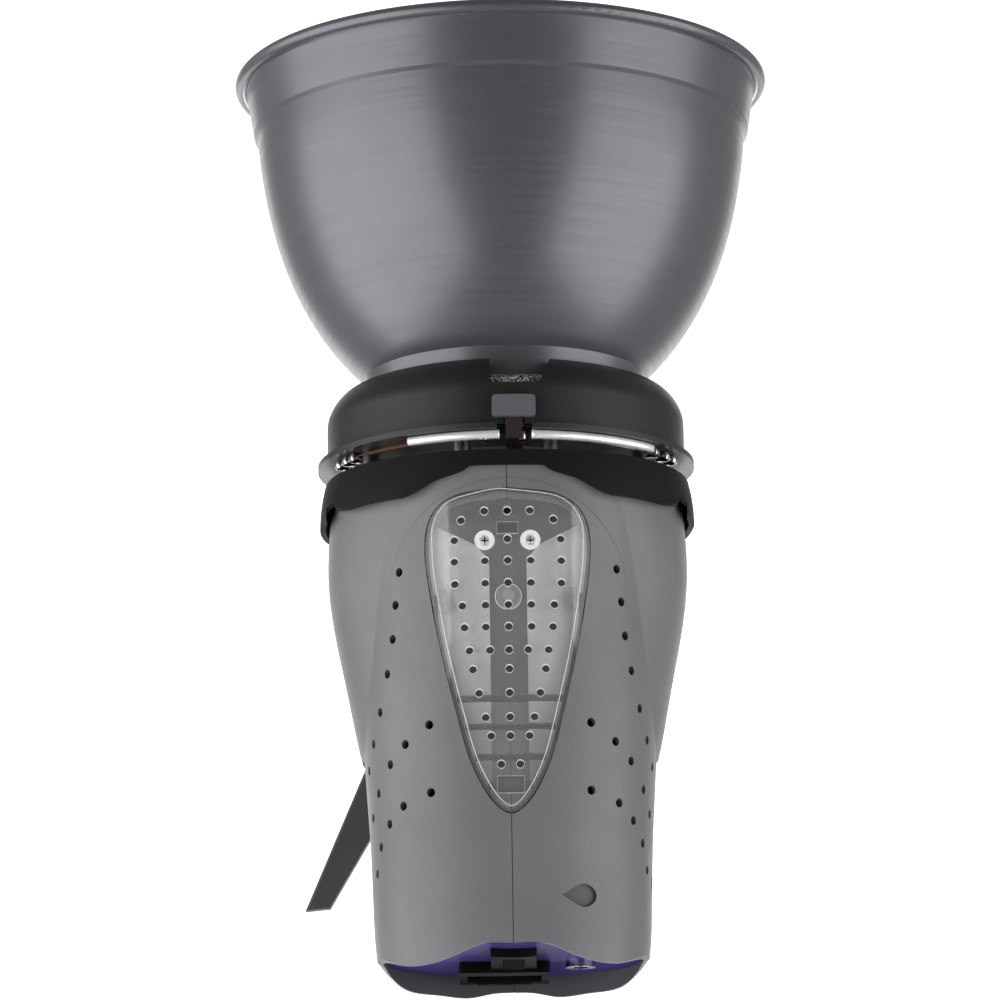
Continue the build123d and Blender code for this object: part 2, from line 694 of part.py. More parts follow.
def make_ready_lamp():
    return rod_y(1.7, -113.0, -107, *LAMP_PLACE) + rod_y(2.2, -110.2, -108.8, *LAMP_PLACE)


def make_dial(radius, place, shaft):
    """Knob flush with the panel, scooped out on both sides of a grip bar with an index line."""
    x, z = place
    knob = rod_y(radius, PANEL_BACK - 0.4, PANEL_FRONT, x, z)
    for side in (-1, 1):
        near, far = sorted((x + side * radius * 0.2, x + side * radius * 0.75))
        knob = knob - head_block(near, far, -119, PANEL_BACK + 1.4, z - radius * 0.6, z + radius * 0.6)
    line = head_block(x - 0.3, x + 0.3, -119, PANEL_BACK, z + radius * 0.3, z + radius * 0.85)
    return knob - line + rod_y(shaft, PANEL_FRONT, -106.4, x, z)


def make_key(x):
    """Push key with a collar behind the panel."""
    return rod_y(KEY_R, PANEL_BACK - 0.4, -109.4, x, KEY_Z) + rod_y(KEY_R + 0.5, -109.4, -108.4, x, KEY_Z)


# ---- Clear cover ----
def make_cover():
    skin = (cover_prism(0) & spine()) - spine(COVER_THICK, 3, -3)
    skirt = (cover_prism(0) - cover_prism(-1.3)) & (spine() - spine(COVER_SKIRT, 3, -3))
    between = spine(COVER_THICK - 0.2, 3, -3) - spine(POCKET_DEPTH - 0.4, 3, -3)
    tabs = head_block(-4.1, 4.1, 50.8, 55.2, 40, 80) + head_block(-5.2, 5.2, -53, -46.6, 40, 80)
    for side in (-1, 1):
        tabs = tabs + head_block(min(side * 28.3, side * 30), max(side * 28.3, side * 30), 17, 27, 30, 80)
    cover = skin + skirt + (tabs & between & cover_prism(-0.1))
    drills = []
    for y, offsets in COVER_HOLES:
        for x in sorted({side * gap for gap in offsets for side in (-1, 1)}):
            drills.append(rod_z(COVER_HOLE_R, AXIS_Z + 40, AXIS_Z + 80, x, y))
    return cover - drills


def make_cover_screws():
    screws = []
    for x in (-COVER_SCREW[0], COVER_SCREW[0]):
        y = COVER_SCREW[1]
        seat = AXIS_Z + surface_height(x, y) - POCKET_DEPTH - CHANNEL_DEPTH + 0.35
        head = rod_z(3.1, seat, seat + 2.2, x, y)
        head = chamfer(head.edges().filter_by(GeomType.CIRCLE).sort_by(Axis.Z)[-1], 0.9)
        cross = block(x - 1.8, x + 1.8, y - 0.4, y + 0.4, seat + 1.4, seat + 4)
        cross = cross + block(x - 0.4, x + 0.4, y - 1.8, y + 1.8, seat + 1.4, seat + 4)
        screws.append(head + rod_z(1.5, seat - 7, seat, x, y) - cross)
    return screws


def make_photocell():
    seat = AXIS_Z + surface_height(0, PHOTOCELL_Y) - POCKET_DEPTH - CHANNEL_DEPTH
    dome = rod_z(5.0, seat + 0.5, seat + 3.6, 0, PHOTOCELL_Y)
    dome = fillet(dome.edges().filter_by(GeomType.CIRCLE).sort_by(Axis.Z)[-1], 1.5)
    return dome + rod_z(3.0, seat - 6, seat + 0.5, 0, PHOTOCELL_Y)


# ---- Tilt yoke, stand bracket and clamps ----
def make_yoke():
    """Two ears under the head, a saddle shaped to the casing and the umbrella tube's boss."""
    under = spine(-FIT) + flare(-FIT)
    saddle = block(-24, 38, -YOKE_HALF_Y, YOKE_HALF_Y, YOKE_UNDER, 92) - under
    saddle = saddle + block(21.5, 38, -YOKE_HALF_Y, YOKE_HALF_Y, 60, YOKE_UNDER + 2)
    for side in (-1, 1):
        low, high = sorted((side * EAR_IN, side * EAR_OUT))
        saddle = saddle + rod_x(TONGUE_R, low, high, 0, PIVOT_Z)
        saddle = saddle + block(low, high, -TONGUE_R, TONGUE_R, PIVOT_Z, YOKE_UNDER + 2)
    saddle = saddle - rod_x(BOLT_R + RUNNING_GAP, -40, 40, 0, PIVOT_Z)
    saddle = saddle - rod(UMBRELLA_R, (UMBRELLA_X, -30, UMBRELLA_Z), (UMBRELLA_X, 30, UMBRELLA_Z))
    saddle = saddle - rod_x(2.6, UMBRELLA_X, 50, 0, UMBRELLA_Z)
    for x in (-8, 8):
        for y in (-12, 12):
            saddle = saddle - rod_z(2.6, 60, 90, x, y) - rod_z(4.4, 60, 71.6, x, y)
    return saddle


def make_backplate():
    plate = block(-16, 16, -YOKE_HALF_Y, YOKE_HALF_Y, 74, 83) & spine(WALL + FIT, 3, -3)
    for x in (-8, 8):
        for y in (-12, 12):
            plate = plate - rod_z(2.45, 70, 90, x, y)
    return plate


def make_yoke_screws():
    screws = []
    for x in (-8, 8):
        for y in (-12, 12):
            head = rod_z(4.2, 68.3, 71.6, x, y) - rod_z(2.0, 60, 70.2, x, y)
            screws.append(head + rod_z(2.4, 71.6, 82.6, x, y))
    return screws


def make_friction_washers():
    washer = rod_x(13.5, TONGUE_HALF + 0.1, EAR_IN, 0, PIVOT_Z)
    washer = washer - rod_x(BOLT_R + RUNNING_GAP, 10, 15, 0, PIVOT_Z)
    return [washer, mirror(washer, about=Plane.YZ)]


def make_tilt_bolt():
    shaft = rod_x(BOLT_R, -40, EAR_OUT + 0.6, 0, PIVOT_Z)
    head = rod_x(7.5, EAR_OUT + 0.6, EAR_OUT + 5.0, 0, PIVOT_Z) - rod_x(3.2, EAR_OUT + 2.6, 40, 0, PIVOT_Z)
    return shaft + head


def make_tilt_lever():
    """Flat tapered handle that swings about the tilt bolt."""
    outline = Polyline(
        (-31.6, 4), (-54.4, 4), (-54.4, 0), (-61.9, -17.5), (-88.3, -79), (-77.7, -78), (-59.6, -47.4),
        (-31.6, 0),
        close=True,
    )
    paddle = extrude(Pos(0, 0, PIVOT_Z - 3.8) * make_face(outline), amount=7.6)
    paddle = fillet(paddle.edges().group_by(Axis.Z)[0] + paddle.edges().group_by(Axis.Z)[-1], 1.2)
    hub = chamfer(rod_x(11.5, -50, -EAR_OUT - 0.6, 0, PIVOT_Z).edges(), 1.0)
    return paddle + hub - rod_x(BOLT_R + 0.02, -40, 0, 0, PIVOT_Z)


def make_stand_bracket():
    """Socket for the spigot, with the tongue between the yoke's ears above it."""
    body = chamfer(rod_z(RECEIVER_R, 0, RECEIVER_TOP).edges(), 1.2)
    neck = block(-TONGUE_HALF, TONGUE_HALF, -TONGUE_R, TONGUE_R, 20, PIVOT_Z)
    tongue = rod_x(TONGUE_R, -TONGUE_HALF, TONGUE_HALF, 0, PIVOT_Z)
    boss = rod_x(9.0, 0, 26, 0, STAND_SCREW_Z)
    bracket = body + neck + tongue + boss - rod_z(SOCKET_R, -1, SOCKET_DEPTH)
    bracket = bracket - rod_x(4.1, 5, 30, 0, STAND_SCREW_Z)
    return bracket - rod_x(BOLT_R + RUNNING_GAP, -20, 20, 0, PIVOT_Z)


def star_knob(radius, x0, x1, z, lobes):
    """Knob with scalloped grip about an axis along X."""
    knob = chamfer(rod_x(radius, x0, x1, 0, z).edges(), 1.0)
    for number in range(lobes):
        angle = 2 * math.pi * number / lobes
        y, up = 1.12 * radius * math.cos(angle), 1.12 * radius * math.sin(angle)
        knob = knob - rod_x(radius * 0.28, x0 - 1, x1 + 1, y, z + up)
    return knob


def make_stand_clamp():
    pad = rod_x(4.04, 8.3, 11.3, 0, STAND_SCREW_Z)
    screw = rod_x(4.04, 11.3, 31, 0, STAND_SCREW_Z)
    knob = star_knob(13.5, 29, 45, STAND_SCREW_Z, 7)
    return pad, screw, knob - rod_x(4.05, 20, 31, 0, STAND_SCREW_Z)


def make_umbrella_clamp():
    wall = UMBRELLA_X + UMBRELLA_R
    pad = rod_x(2.54, wall + 0.2, wall + 2.4, 0, UMBRELLA_Z)
    screw = rod_x(2.54, wall + 2.4, 41, 0, UMBRELLA_Z)
    return pad, screw + star_knob(8.0, 40, 49, UMBRELLA_Z, 6)


# ---- Write every node ----
def build_nodes():
    nodes = {}
    nodes["left_casing"], nodes["right_casing"] = make_casings()
    nodes["casing_screws"] = make_casing_screws()
    nodes["rear_panel"] = make_rear_panel()
    nodes["rear_panel_screws"] = make_panel_screws()
    nodes["front_bumper"] = make_bumper()
    nodes["front_bulkhead"] = make_bulkhead()
    nodes["clear_cover"] = make_cover()
    nodes["cover_screws"] = make_cover_screws()
    nodes["photocell"] = make_photocell()
    nodes["mount_flange"] = make_flange()
    nodes["flange_standoffs"] = make_standoffs()
    nodes["mount_hood"] = make_hood()
    nodes["bayonet_ring"] = make_bayonet_ring()
    nodes["release_button"], nodes["release_strap"], nodes["lock_pin"] = make_release()
    nodes["release_spring"] = make_release_spring()
    nodes["reflector_bowl"] = make_bowl() - rivet_holes()
    nodes["reflector_collar"] = make_collar() - rivet_holes()
    nodes["collar_rivets"] = make_rivets()
    nodes["tube_base"] = make_tube_base()
    nodes["flash_tube"] = make_flash_tube()
    nodes["lampholder"] = make_lampholder()
    nodes["modelling_lamp_cap"] = make_lamp_cap()
    nodes["modelling_lamp_bulb"] = make_bulb()
    nodes["flash_capacitors"] = make_capacitors()
    nodes["main_board"] = make_main_board()
    nodes["charging_coil"] = make_charging_coil()
    nodes["control_board"] = make_control_board()
    nodes["fan_frame"] = make_fan_frame()
    nodes["fan_rotor"] = make_fan_rotor()
    nodes["switch_bezel"] = make_switch_bezel()
    nodes["power_rocker"] = make_rocker()
    nodes["mains_inlet"] = make_inlet()
    nodes["inlet_pins"] = make_inlet_pins()
    nodes["fuse_drawer"] = make_fuse_drawer()
    nodes["sync_jack"] = make_sync_jack()
    nodes["display_window"] = make_display()
    nodes["ready_lamp"] = make_ready_lamp()
    nodes["power_dial"] = make_dial(DIAL_R, DIAL_PLACE, 3.2)
    nodes["modelling_dial"] = make_dial(TRIM_R, TRIM_PLACE, 2.2)
    for name, x in zip(("test_key", "sound_key", "cell_key"), KEY_PLACES):
        nodes[name] = make_key(x)
    nodes["tilt_yoke"] = make_yoke()
    nodes["yoke_backplate"] = make_backplate()
    nodes["yoke_screws"] = make_yoke_screws()
    nodes["friction_washers"] = make_friction_washers()
    nodes["tilt_bolt"] = make_tilt_bolt()
    nodes["tilt_lever"] = make_tilt_lever()
    nodes["stand_bracket"] = make_stand_bracket()
    nodes["stand_clamp_pad"], nodes["stand_clamp_screw"], nodes["stand_clamp_knob"] = make_stand_clamp()
    nodes["umbrella_clamp_pad"], nodes["umbrella_clamp_screw"] = make_umbrella_clamp()
    return nodes


os.makedirs("parts", exist_ok=True)
for node, shape in build_nodes().items():
    pieces = shape if isinstance(shape, list) else [shape]
    solids = [solid for piece in pieces for solid in piece.solids()]
    body = Compound(children=solids) if len(solids) > 1 else solids[0]
    export_step(body, f"parts/{node}.step")
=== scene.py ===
import json
import math

import bmesh
import bpy
from mathutils import Matrix, Vector
from mathutils.bvhtree import BVHTree
from mathutils.geometry import convex_hull_2d


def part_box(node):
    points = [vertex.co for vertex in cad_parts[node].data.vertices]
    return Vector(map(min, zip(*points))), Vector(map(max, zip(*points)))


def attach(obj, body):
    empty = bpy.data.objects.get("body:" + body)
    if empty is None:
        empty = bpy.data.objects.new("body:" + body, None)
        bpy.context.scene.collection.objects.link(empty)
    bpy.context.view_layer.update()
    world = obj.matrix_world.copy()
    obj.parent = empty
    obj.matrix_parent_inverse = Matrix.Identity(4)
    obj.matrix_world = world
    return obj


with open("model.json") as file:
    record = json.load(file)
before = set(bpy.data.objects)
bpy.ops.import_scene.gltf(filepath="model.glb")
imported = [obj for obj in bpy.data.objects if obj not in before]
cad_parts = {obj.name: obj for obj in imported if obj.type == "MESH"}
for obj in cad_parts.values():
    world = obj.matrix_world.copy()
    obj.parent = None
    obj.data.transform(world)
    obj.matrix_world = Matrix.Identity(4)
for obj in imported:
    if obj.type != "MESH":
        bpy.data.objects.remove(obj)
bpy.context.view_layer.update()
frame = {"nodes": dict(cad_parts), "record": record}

NODES = frame["nodes"]
MM = 0.001
DOWN = Vector((0, 0, -1))
SKY = 1.0                # metres up, where rays that are cast down start
SAME_POINT = 1e-6        # metres between vertices that count as one

# Cosines that tell which way a polygon faces.
FACING_IN = -0.2
FACING_FRONT = 0.75
FACING_SIDE = 0.3

# The optical axis runs along Y at the height of the mount flange's middle.
FLANGE_LOW, FLANGE_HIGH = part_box("mount_flange")
AXIS_Z = (FLANGE_LOW.z + FLANGE_HIGH.z) / 2
FLANGE_Y = (FLANGE_LOW.y + FLANGE_HIGH.y) / 2
COVER_LOW, COVER_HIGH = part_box("clear_cover")

# Crease across the front of the casing: half an ellipse, with the depth of its step.
FRONT_CREASE_Y = 30 * MM
FRONT_CREASE_HALF = 48 * MM
FRONT_CREASE_LENGTH = 43 * MM
FRONT_CREASE_DEPTH = 0.18 * MM
FRONT_CREASE_SOFT = 0.4 * MM
FRONT_CREASE_FADE = (FRONT_CREASE_Y - 30 * MM, FRONT_CREASE_Y + 5 * MM)
FRONT_CREASE_ABOVE = (AXIS_Z + 20 * MM, AXIS_Z + 35 * MM)

# Crease across the rear of the casing: a bowed line that the surface slopes down from.
REAR_CREASE_Y = -63 * MM
REAR_CREASE_BOW = 4.5
REAR_CREASE_REACH = 60 * MM
REAR_CREASE_DROP = -2.2 * MM

# Where painted shade darkens the tray's floor: towards the front and towards the rear, along Y.
TRAY_SHADE_FRONT = (50 * MM, 60 * MM)
TRAY_SHADE_REAR = (-50 * MM, 4 * MM)
TRAY_SHADE_MOST = 0.8

# The range that nearly all of a noise's values fall in.
MOST = (0.3, 0.7)


# ---- Small helpers for shader graphs ----
class Graph:
    """A material's node tree, with short calls to add and join nodes."""

    def __init__(self, name):
        self.name = name
        self.material = bpy.data.materials.new(name)
        self.material.use_nodes = True
        self.nodes = self.material.node_tree.nodes
        self.links = self.material.node_tree.links
        self.bsdf = self.nodes["Principled BSDF"]
        self.place = self.nodes.new("ShaderNodeTexCoord").outputs["Object"]

    def set(self, **values):
        for key, value in values.items():
            self.bsdf.inputs[key.replace("_", " ")].default_value = value
        return self

    def join(self, source, target):
        self.links.new(source, target)

    def scaled_place(self, size, stretch=(1, 1, 1)):
        """The object's coordinates, scaled so that one unit is size metres."""
        mapping = self.nodes.new("ShaderNodeMapping")
        mapping.inputs["Scale"].default_value = [value / size for value in stretch]
        self.join(self.place, mapping.inputs["Vector"])
        return mapping.outputs["Vector"]

    def noise(self, size, detail=3.0, roughness=0.5, stretch=(1, 1, 1)):
        """Noise whose features are about size metres across."""
        texture = self.nodes.new("ShaderNodeTexNoise")
        texture.inputs["Scale"].default_value = 1.0
        texture.inputs["Detail"].default_value = detail
        texture.inputs["Roughness"].default_value = roughness
        self.join(self.scaled_place(size, stretch), texture.inputs["Vector"])
        return texture.outputs["Fac"]

    def cells(self, size, feature):
        """Cells about size metres across."""
        texture = self.nodes.new("ShaderNodeTexVoronoi")
        texture.feature = feature
        texture.inputs["Scale"].default_value = 1.0
        self.join(self.scaled_place(size), texture.inputs["Vector"])
        return texture.outputs["Distance"]

    def axes(self):
        """The object's coordinates as three numbers."""
        split = self.nodes.new("ShaderNodeSeparateXYZ")
        self.join(self.place, split.inputs["Vector"])
        return split.outputs["X"], split.outputs["Y"], split.outputs["Z"]

    def ramp(self, source, low, high, start=0.35, end=0.65):
        """Spread a factor between two numbers."""
        node = self.nodes.new("ShaderNodeMapRange")
        node.inputs["From Min"].default_value = start
        node.inputs["From Max"].default_value = end
        node.inputs["To Min"].default_value = low
        node.inputs["To Max"].default_value = high
        self.join(source, node.inputs["Value"])
        return node.outputs["Result"]

    def blend(self, factor, first, second):
        """Mix two colours, given as values or as sockets."""
        node = self.nodes.new("ShaderNodeMix")
        node.data_type = "RGBA"
        self.join(factor, node.inputs["Factor"])
        for socket, colour in ((node.inputs[6], first), (node.inputs[7], second)):
            if isinstance(colour, bpy.types.NodeSocket):
                self.join(colour, socket)
            else:
                socket.default_value = (*colour, 1.0)
        return node.outputs[2]

    def math(self, operation, *values):
        """One operation on sockets and numbers, by Blender's name for it."""
        node = self.nodes.new("ShaderNodeMath")
        node.operation = operation
        for number, value in enumerate(values):
            if isinstance(value, bpy.types.NodeSocket):
                self.join(value, node.inputs[number])
            else:
                node.inputs[number].default_value = value
        return node.outputs[0]

    def bump(self, height, distance, normal=None):
        """Normal of a height times distance metres, on top of another normal if there is one."""
        node = self.nodes.new("ShaderNodeBump")
        node.inputs["Distance"].default_value = distance
        node.inputs["Strength"].default_value = 1.0
        self.join(height, node.inputs["Height"])
        if normal is not None:
            self.join(normal, node.inputs["Normal"])
        return node.outputs["Normal"]

    def source(self, name):
        """What is joined to one of the shader's inputs."""
        return self.bsdf.inputs[name].links[0].from_socket

    def colour(self, socket):
        self.join(socket, self.bsdf.inputs["Base Color"])

    def roughness(self, socket):
        self.join(socket, self.bsdf.inputs["Roughness"])

    def normal(self, socket):
        self.join(socket, self.bsdf.inputs["Normal"])


def shade(colour, factor):
    return tuple(min(1.0, value * factor) for value in colour)


# ---- Materials ----
def moulded_plastic(name, colour, roughness, grain, depth, patch=60 * MM):
    """Moulded plastic: fine grain, faint colour drift and uneven gloss from handling."""
    graph = Graph(name)
    drift = graph.noise(patch, 4.0)
    speck = graph.noise(grain * 2.5, 2.0)
    base = graph.blend(graph.ramp(drift, 0, 1), shade(colour, 0.93), shade(colour, 1.06))
    graph.colour(graph.blend(graph.ramp(speck, 0, 0.35), base, shade(colour, 0.8)))
    smear = graph.noise(18 * MM, 5.0, 0.6)
    graph.roughness(graph.ramp(smear, roughness - 0.05, roughness + 0.07, *MOST))
    graph.normal(graph.bump(graph.noise(grain, 2.0), depth))
    return graph


def leather_plastic(name, colour, roughness, cell, depth, specular=0.5):
    """Black plastic with the leather-like spark texture of a mould."""
    graph = Graph(name)
    graph.set(Specular_IOR_Level=specular)
    cells = graph.cells(cell, "SMOOTH_F1")
    fine = graph.noise(cell * 0.6, 3.0)
    worn = graph.ramp(cells, 0, 1, 0.1, 0.7)
    graph.colour(graph.blend(worn, shade(colour, 1.35), shade(colour, 0.75)))
    smear = graph.noise(20 * MM, 4.0)
    graph.roughness(graph.ramp(smear, roughness - 0.06, roughness + 0.08, *MOST))
    rough_normal = graph.bump(fine, depth * 0.6)
    graph.normal(graph.bump(cells, depth, normal=rough_normal))
    return graph


def plated_metal(name, colour, roughness, grain=0.4 * MM, streak=(1, 1, 1)):
    """Plated or polished metal with fine tool marks and cloudy reflections."""
    graph = Graph(name)
    graph.set(Metallic=1.0)
    cloud = graph.noise(12 * MM, 4.0)
    graph.colour(graph.blend(graph.ramp(cloud, 0, 1), shade(colour, 0.86), shade(colour, 1.05)))
    marks = graph.noise(grain, 2.0, 0.5, streak)
    graph.roughness(graph.ramp(marks, roughness * 0.75, roughness * 1.35, *MOST))
    graph.normal(graph.bump(marks, 0.004 * MM))
    return graph


def lacquered_bowl(name, colour, roughness):
    """Satin grey lacquer over spun metal: very fine orange peel and faint spinning rings."""
    graph = Graph(name)
    graph.set(Metallic=0.55, Coat_Weight=0.18, Coat_Roughness=0.22)
    drift = graph.noise(50 * MM, 3.0)
    flake = graph.noise(0.3 * MM, 1.0)
    base = graph.blend(graph.ramp(drift, 0, 1), shade(colour, 0.95), shade(colour, 1.05))
    graph.colour(graph.blend(graph.ramp(flake, 0, 0.5), base, shade(colour, 1.25)))
    rings = graph.noise(1.6 * MM, 2.0, 0.5, (0.02, 1, 0.02))
    graph.roughness(graph.ramp(rings, roughness - 0.03, roughness + 0.05, *MOST))
    peel = graph.bump(graph.noise(1.2 * MM, 2.0), 0.012 * MM)
    graph.normal(graph.bump(rings, 0.010 * MM, normal=peel))
    return graph


def rough_cast(name, colour):
    """Bright speckled casting."""
    graph = Graph(name)
    graph.set(Metallic=0.9)
    grit = graph.noise(0.9 * MM, 3.0, 0.6)
    speckle = graph.ramp(grit, 0, 1, 0.42, 0.58)
    graph.colour(graph.blend(speckle, shade(colour, 0.08), shade(colour, 1.9)))
    graph.roughness(graph.ramp(grit, 0.25, 0.6, *MOST))
    graph.normal(graph.bump(grit, 0.12 * MM))
    return graph


def clear_plastic(name, tint, roughness, ior, clarity):
    """Clear moulding with faint haze and flow marks."""
    graph = Graph(name)
    graph.set(Transmission_Weight=clarity, IOR=ior)
    haze = graph.noise(20 * MM, 4.0)
    graph.colour(graph.blend(graph.ramp(haze, 0, 1), tint, shade(tint, 0.96)))
    graph.roughness(graph.ramp(haze, roughness, roughness + 0.06, 0.4, 0.8))
    graph.normal(graph.bump(graph.noise(4 * MM, 2.0), 0.006 * MM))
    return graph


def glowing_plastic(name, tint, roughness, clarity, glow):
    """Frosted clear moulding with a faint glow of its own: painted light, standing in for the light that
    clear plastic gathers.
    """
    graph = clear_plastic(name, tint, roughness, 1.45, clarity)
    return graph.set(Emission_Color=(1.0, 1.0, 1.0, 1.0), Emission_Strength=glow)


def circuit_board(name, colour):
    """Green solder mask with copper tracks under it."""
    graph = Graph(name)
    tracks = graph.cells(4 * MM, "DISTANCE_TO_EDGE")
    graph.colour(graph.blend(graph.ramp(tracks, 1, 0, 0.05, 0.09), colour, shade(colour, 2.2)))
    graph.set(Coat_Weight=0.4)
    graph.roughness(graph.ramp(graph.noise(10 * MM), 0.3, 0.45))
    return graph


def wound_copper(name, colour):
    """Enamelled wire laid side by side."""
    graph = Graph(name)
    graph.set(Metallic=0.9)
    wire = graph.nodes.new("ShaderNodeTexWave")
    wire.inputs["Scale"].default_value = 600.0
    graph.join(graph.place, wire.inputs["Vector"])
    graph.colour(graph.blend(wire.outputs["Fac"], shade(colour, 0.4), colour))
    graph.roughness(graph.ramp(graph.noise(2 * MM), 0.25, 0.4))
    graph.normal(graph.bump(wire.outputs["Fac"], 0.2 * MM))
    return graph


def casing_plastic(name, colour, roughness):
    """The head's satin plastic, with faint mould creases across its front and rear."""
    graph = moulded_plastic(name, colour, roughness, 0.35 * MM, 0.02 * MM)
    x, y, z = graph.axes()
    bowed = graph.math("MULTIPLY_ADD", graph.math("MULTIPLY", x, x), REAR_CREASE_BOW, y)
    slope = graph.ramp(bowed, REAR_CREASE_DROP, 0.0, REAR_CREASE_Y - REAR_CREASE_REACH, REAR_CREASE_Y)

    ahead = graph.math("ADD", y, -FRONT_CREASE_Y)
    across = graph.math("MULTIPLY", x, FRONT_CREASE_LENGTH / FRONT_CREASE_HALF)
    square = graph.math("MULTIPLY_ADD", ahead, ahead, graph.math("MULTIPLY", across, across))
    from_middle = graph.math("SQRT", square)
    outside = graph.ramp(from_middle, 0, 1, FRONT_CREASE_LENGTH - FRONT_CREASE_SOFT,
                         FRONT_CREASE_LENGTH + FRONT_CREASE_SOFT)
    in_front = graph.ramp(y, 0, 1, *FRONT_CREASE_FADE)
    above = graph.ramp(z, 0, 1, *FRONT_CREASE_ABOVE)
    step = graph.math("MULTIPLY", outside, graph.math("MULTIPLY", in_front, above))
    lip = graph.math("MULTIPLY", step, -FRONT_CREASE_DEPTH)
    graph.normal(graph.bump(graph.math("ADD", slope, lip), 1.0, normal=graph.source("Normal")))
    return graph


def tray_floor(name, pale, dim):
    """Floor of the tray, darker towards its rear and its front with painted shade."""
    graph = moulded_plastic(name, pale, 0.35, 0.5 * MM, 0.01 * MM)
    y = graph.axes()[1]
    front = graph.ramp(y, 0, TRAY_SHADE_MOST, *TRAY_SHADE_FRONT)
    rear = graph.ramp(y, TRAY_SHADE_MOST, 0, *TRAY_SHADE_REAR)
    graph.colour(graph.blend(graph.math("MAXIMUM", front, rear), graph.source("Base Color"), dim))
    return graph


def grey(value):
    return (value, value, value)


WHITE = grey(0.95)
CASING_GREY = (0.185, 0.186, 0.196)
BLACK = (0.0145, 0.0138, 0.0134)
STEEL = (0.72, 0.72, 0.73)

# The materials that the CAD nodes' own slots name.
GRAPHS = {graph.name: graph for graph in (
    casing_plastic("casing_grey", CASING_GREY, 0.44),
    leather_plastic("black_plastic", BLACK, 0.44, 0.7 * MM, 0.05 * MM, 0.4),
    moulded_plastic("panel_purple", (0.065, 0.047, 0.25), 0.5, 0.4 * MM, 0.02 * MM),
    clear_plastic("clear_plastic", grey(0.93), 0.03, 1.12, 0.9),
    lacquered_bowl("reflector_paint", (0.14, 0.143, 0.155), 0.34),
    plated_metal("reflector_silver", (0.8, 0.8, 0.82), 0.32, 0.9 * MM, (1, 0.1, 1)),
    plated_metal("polished_steel", STEEL, 0.14),
    plated_metal("zinc_steel", (0.4, 0.4, 0.42), 0.32),
    rough_cast("cast_metal", grey(0.5)),
    leather_plastic("bracket_alloy", (0.02, 0.02, 0.021), 0.48, 0.5 * MM, 0.04 * MM),
    clear_plastic("tube_glass", (0.97, 0.98, 1.0), 0.02, 1.47, 0.85),
    moulded_plastic("ceramic_white", (0.62, 0.6, 0.56), 0.5, 0.6 * MM, 0.02 * MM, 30 * MM),
    plated_metal("brass", (0.62, 0.45, 0.19), 0.28),
    circuit_board("board_green", (0.015, 0.09, 0.035)),
    moulded_plastic("capacitor_sleeve", (0.015, 0.03, 0.09), 0.25, 1 * MM, 0.01 * MM),
    wound_copper("copper_wire", (0.55, 0.22, 0.08)),
    moulded_plastic("lamp_red", (0.45, 0.02, 0.015), 0.15, 1 * MM, 0.005 * MM),
    moulded_plastic("smoked_window", (0.012, 0.004, 0.005), 0.1, 2 * MM, 0.004 * MM),
    moulded_plastic("knob_grey", (0.075, 0.076, 0.082), 0.4, 0.3 * MM, 0.02 * MM),
)}
GRAPHS["panel_purple"].set(Specular_IOR_Level=0.12)
GRAPHS["clear_plastic"].set(Coat_Weight=1.0, Coat_Roughness=0.04, Coat_IOR=1.5)

# More materials, on single nodes, on parts of a node and on the pieces added here.
FLANGE_GREY = plated_metal("flange_grey", (0.16, 0.15, 0.165), 0.34, 0.5 * MM).set(Metallic=0.85)
# Painted shade: dark plastic for the side faces of the metal flange.
FLANGE_EDGE_SHADE = moulded_plastic("flange_edge", (0.02, 0.02, 0.022), 0.4, 0.4 * MM, 0.02 * MM)
BUMPER_BLACK = leather_plastic("bumper_black", (0.0095, 0.0095, 0.0097), 0.55, 0.6 * MM, 0.03 * MM, 0.12)
RECESS_BLACK = leather_plastic("recess_black", (0.005, 0.005, 0.0052), 0.6, 0.6 * MM, 0.03 * MM, 0.04)
BRIGHT_RING = plated_metal("bright_ring", (0.95, 0.95, 0.94), 0.22).set(Metallic=0.35)
STRAP_STEEL = plated_metal("strap_steel", (0.2, 0.165, 0.145), 0.3)
BUTTON_GREY = moulded_plastic("button_grey", (0.13, 0.13, 0.15), 0.35, 0.3 * MM, 0.01 * MM)
# Painted shade: darker grey for the inside of the casing's rear rim.
INNER_SHADE = moulded_plastic("inner_shade", (0.075, 0.075, 0.079), 0.6, 0.6 * MM, 0.03 * MM)
# Painted shade: darker grey for the floor of the thumb hollow.
DIMPLE_SHADE = moulded_plastic("dimple_shade", (0.115, 0.116, 0.122), 0.6, 0.4 * MM, 0.03 * MM)
# Dark plastic: the dark strip in the shells' seam, and painted shade on the sheet under the louvres and
# in the screws' cross recesses.
JOINT_AND_SHADE_DARK = moulded_plastic("joint_and_shade_dark", (0.02, 0.02, 0.021), 0.6, 0.4 * MM, 0.01 * MM)
# Tray floors, pale and dark, each darkened by painted shade towards the front and the rear.
TRAY_PALE = tray_floor("tray_pale", (0.82, 0.82, 0.81), grey(0.2))
TRAY_DARK = tray_floor("tray_dark", (0.1, 0.1, 0.102), (0.02, 0.02, 0.021))
TRAY_PORT = moulded_plastic("tray_port", (0.03, 0.03, 0.031), 0.5, 0.5 * MM, 0.03 * MM)
COVER_EDGE = moulded_plastic("cover_edge", (0.2, 0.2, 0.205), 0.35, 0.5 * MM, 0.01 * MM)
HOLE_GREY = moulded_plastic("hole_grey", (0.07, 0.07, 0.071), 0.5, 0.5 * MM, 0.02 * MM)
PAD_BROWN = moulded_plastic("pad_brown", (0.15, 0.14, 0.13), 0.6, 0.5 * MM, 0.03 * MM)
SENSOR_BODY = clear_plastic("sensor_body", grey(0.7), 0.06, 1.5, 0.5)
SENSOR_LENS = clear_plastic("sensor_lens", grey(0.75), 0.2, 1.45, 0.4)
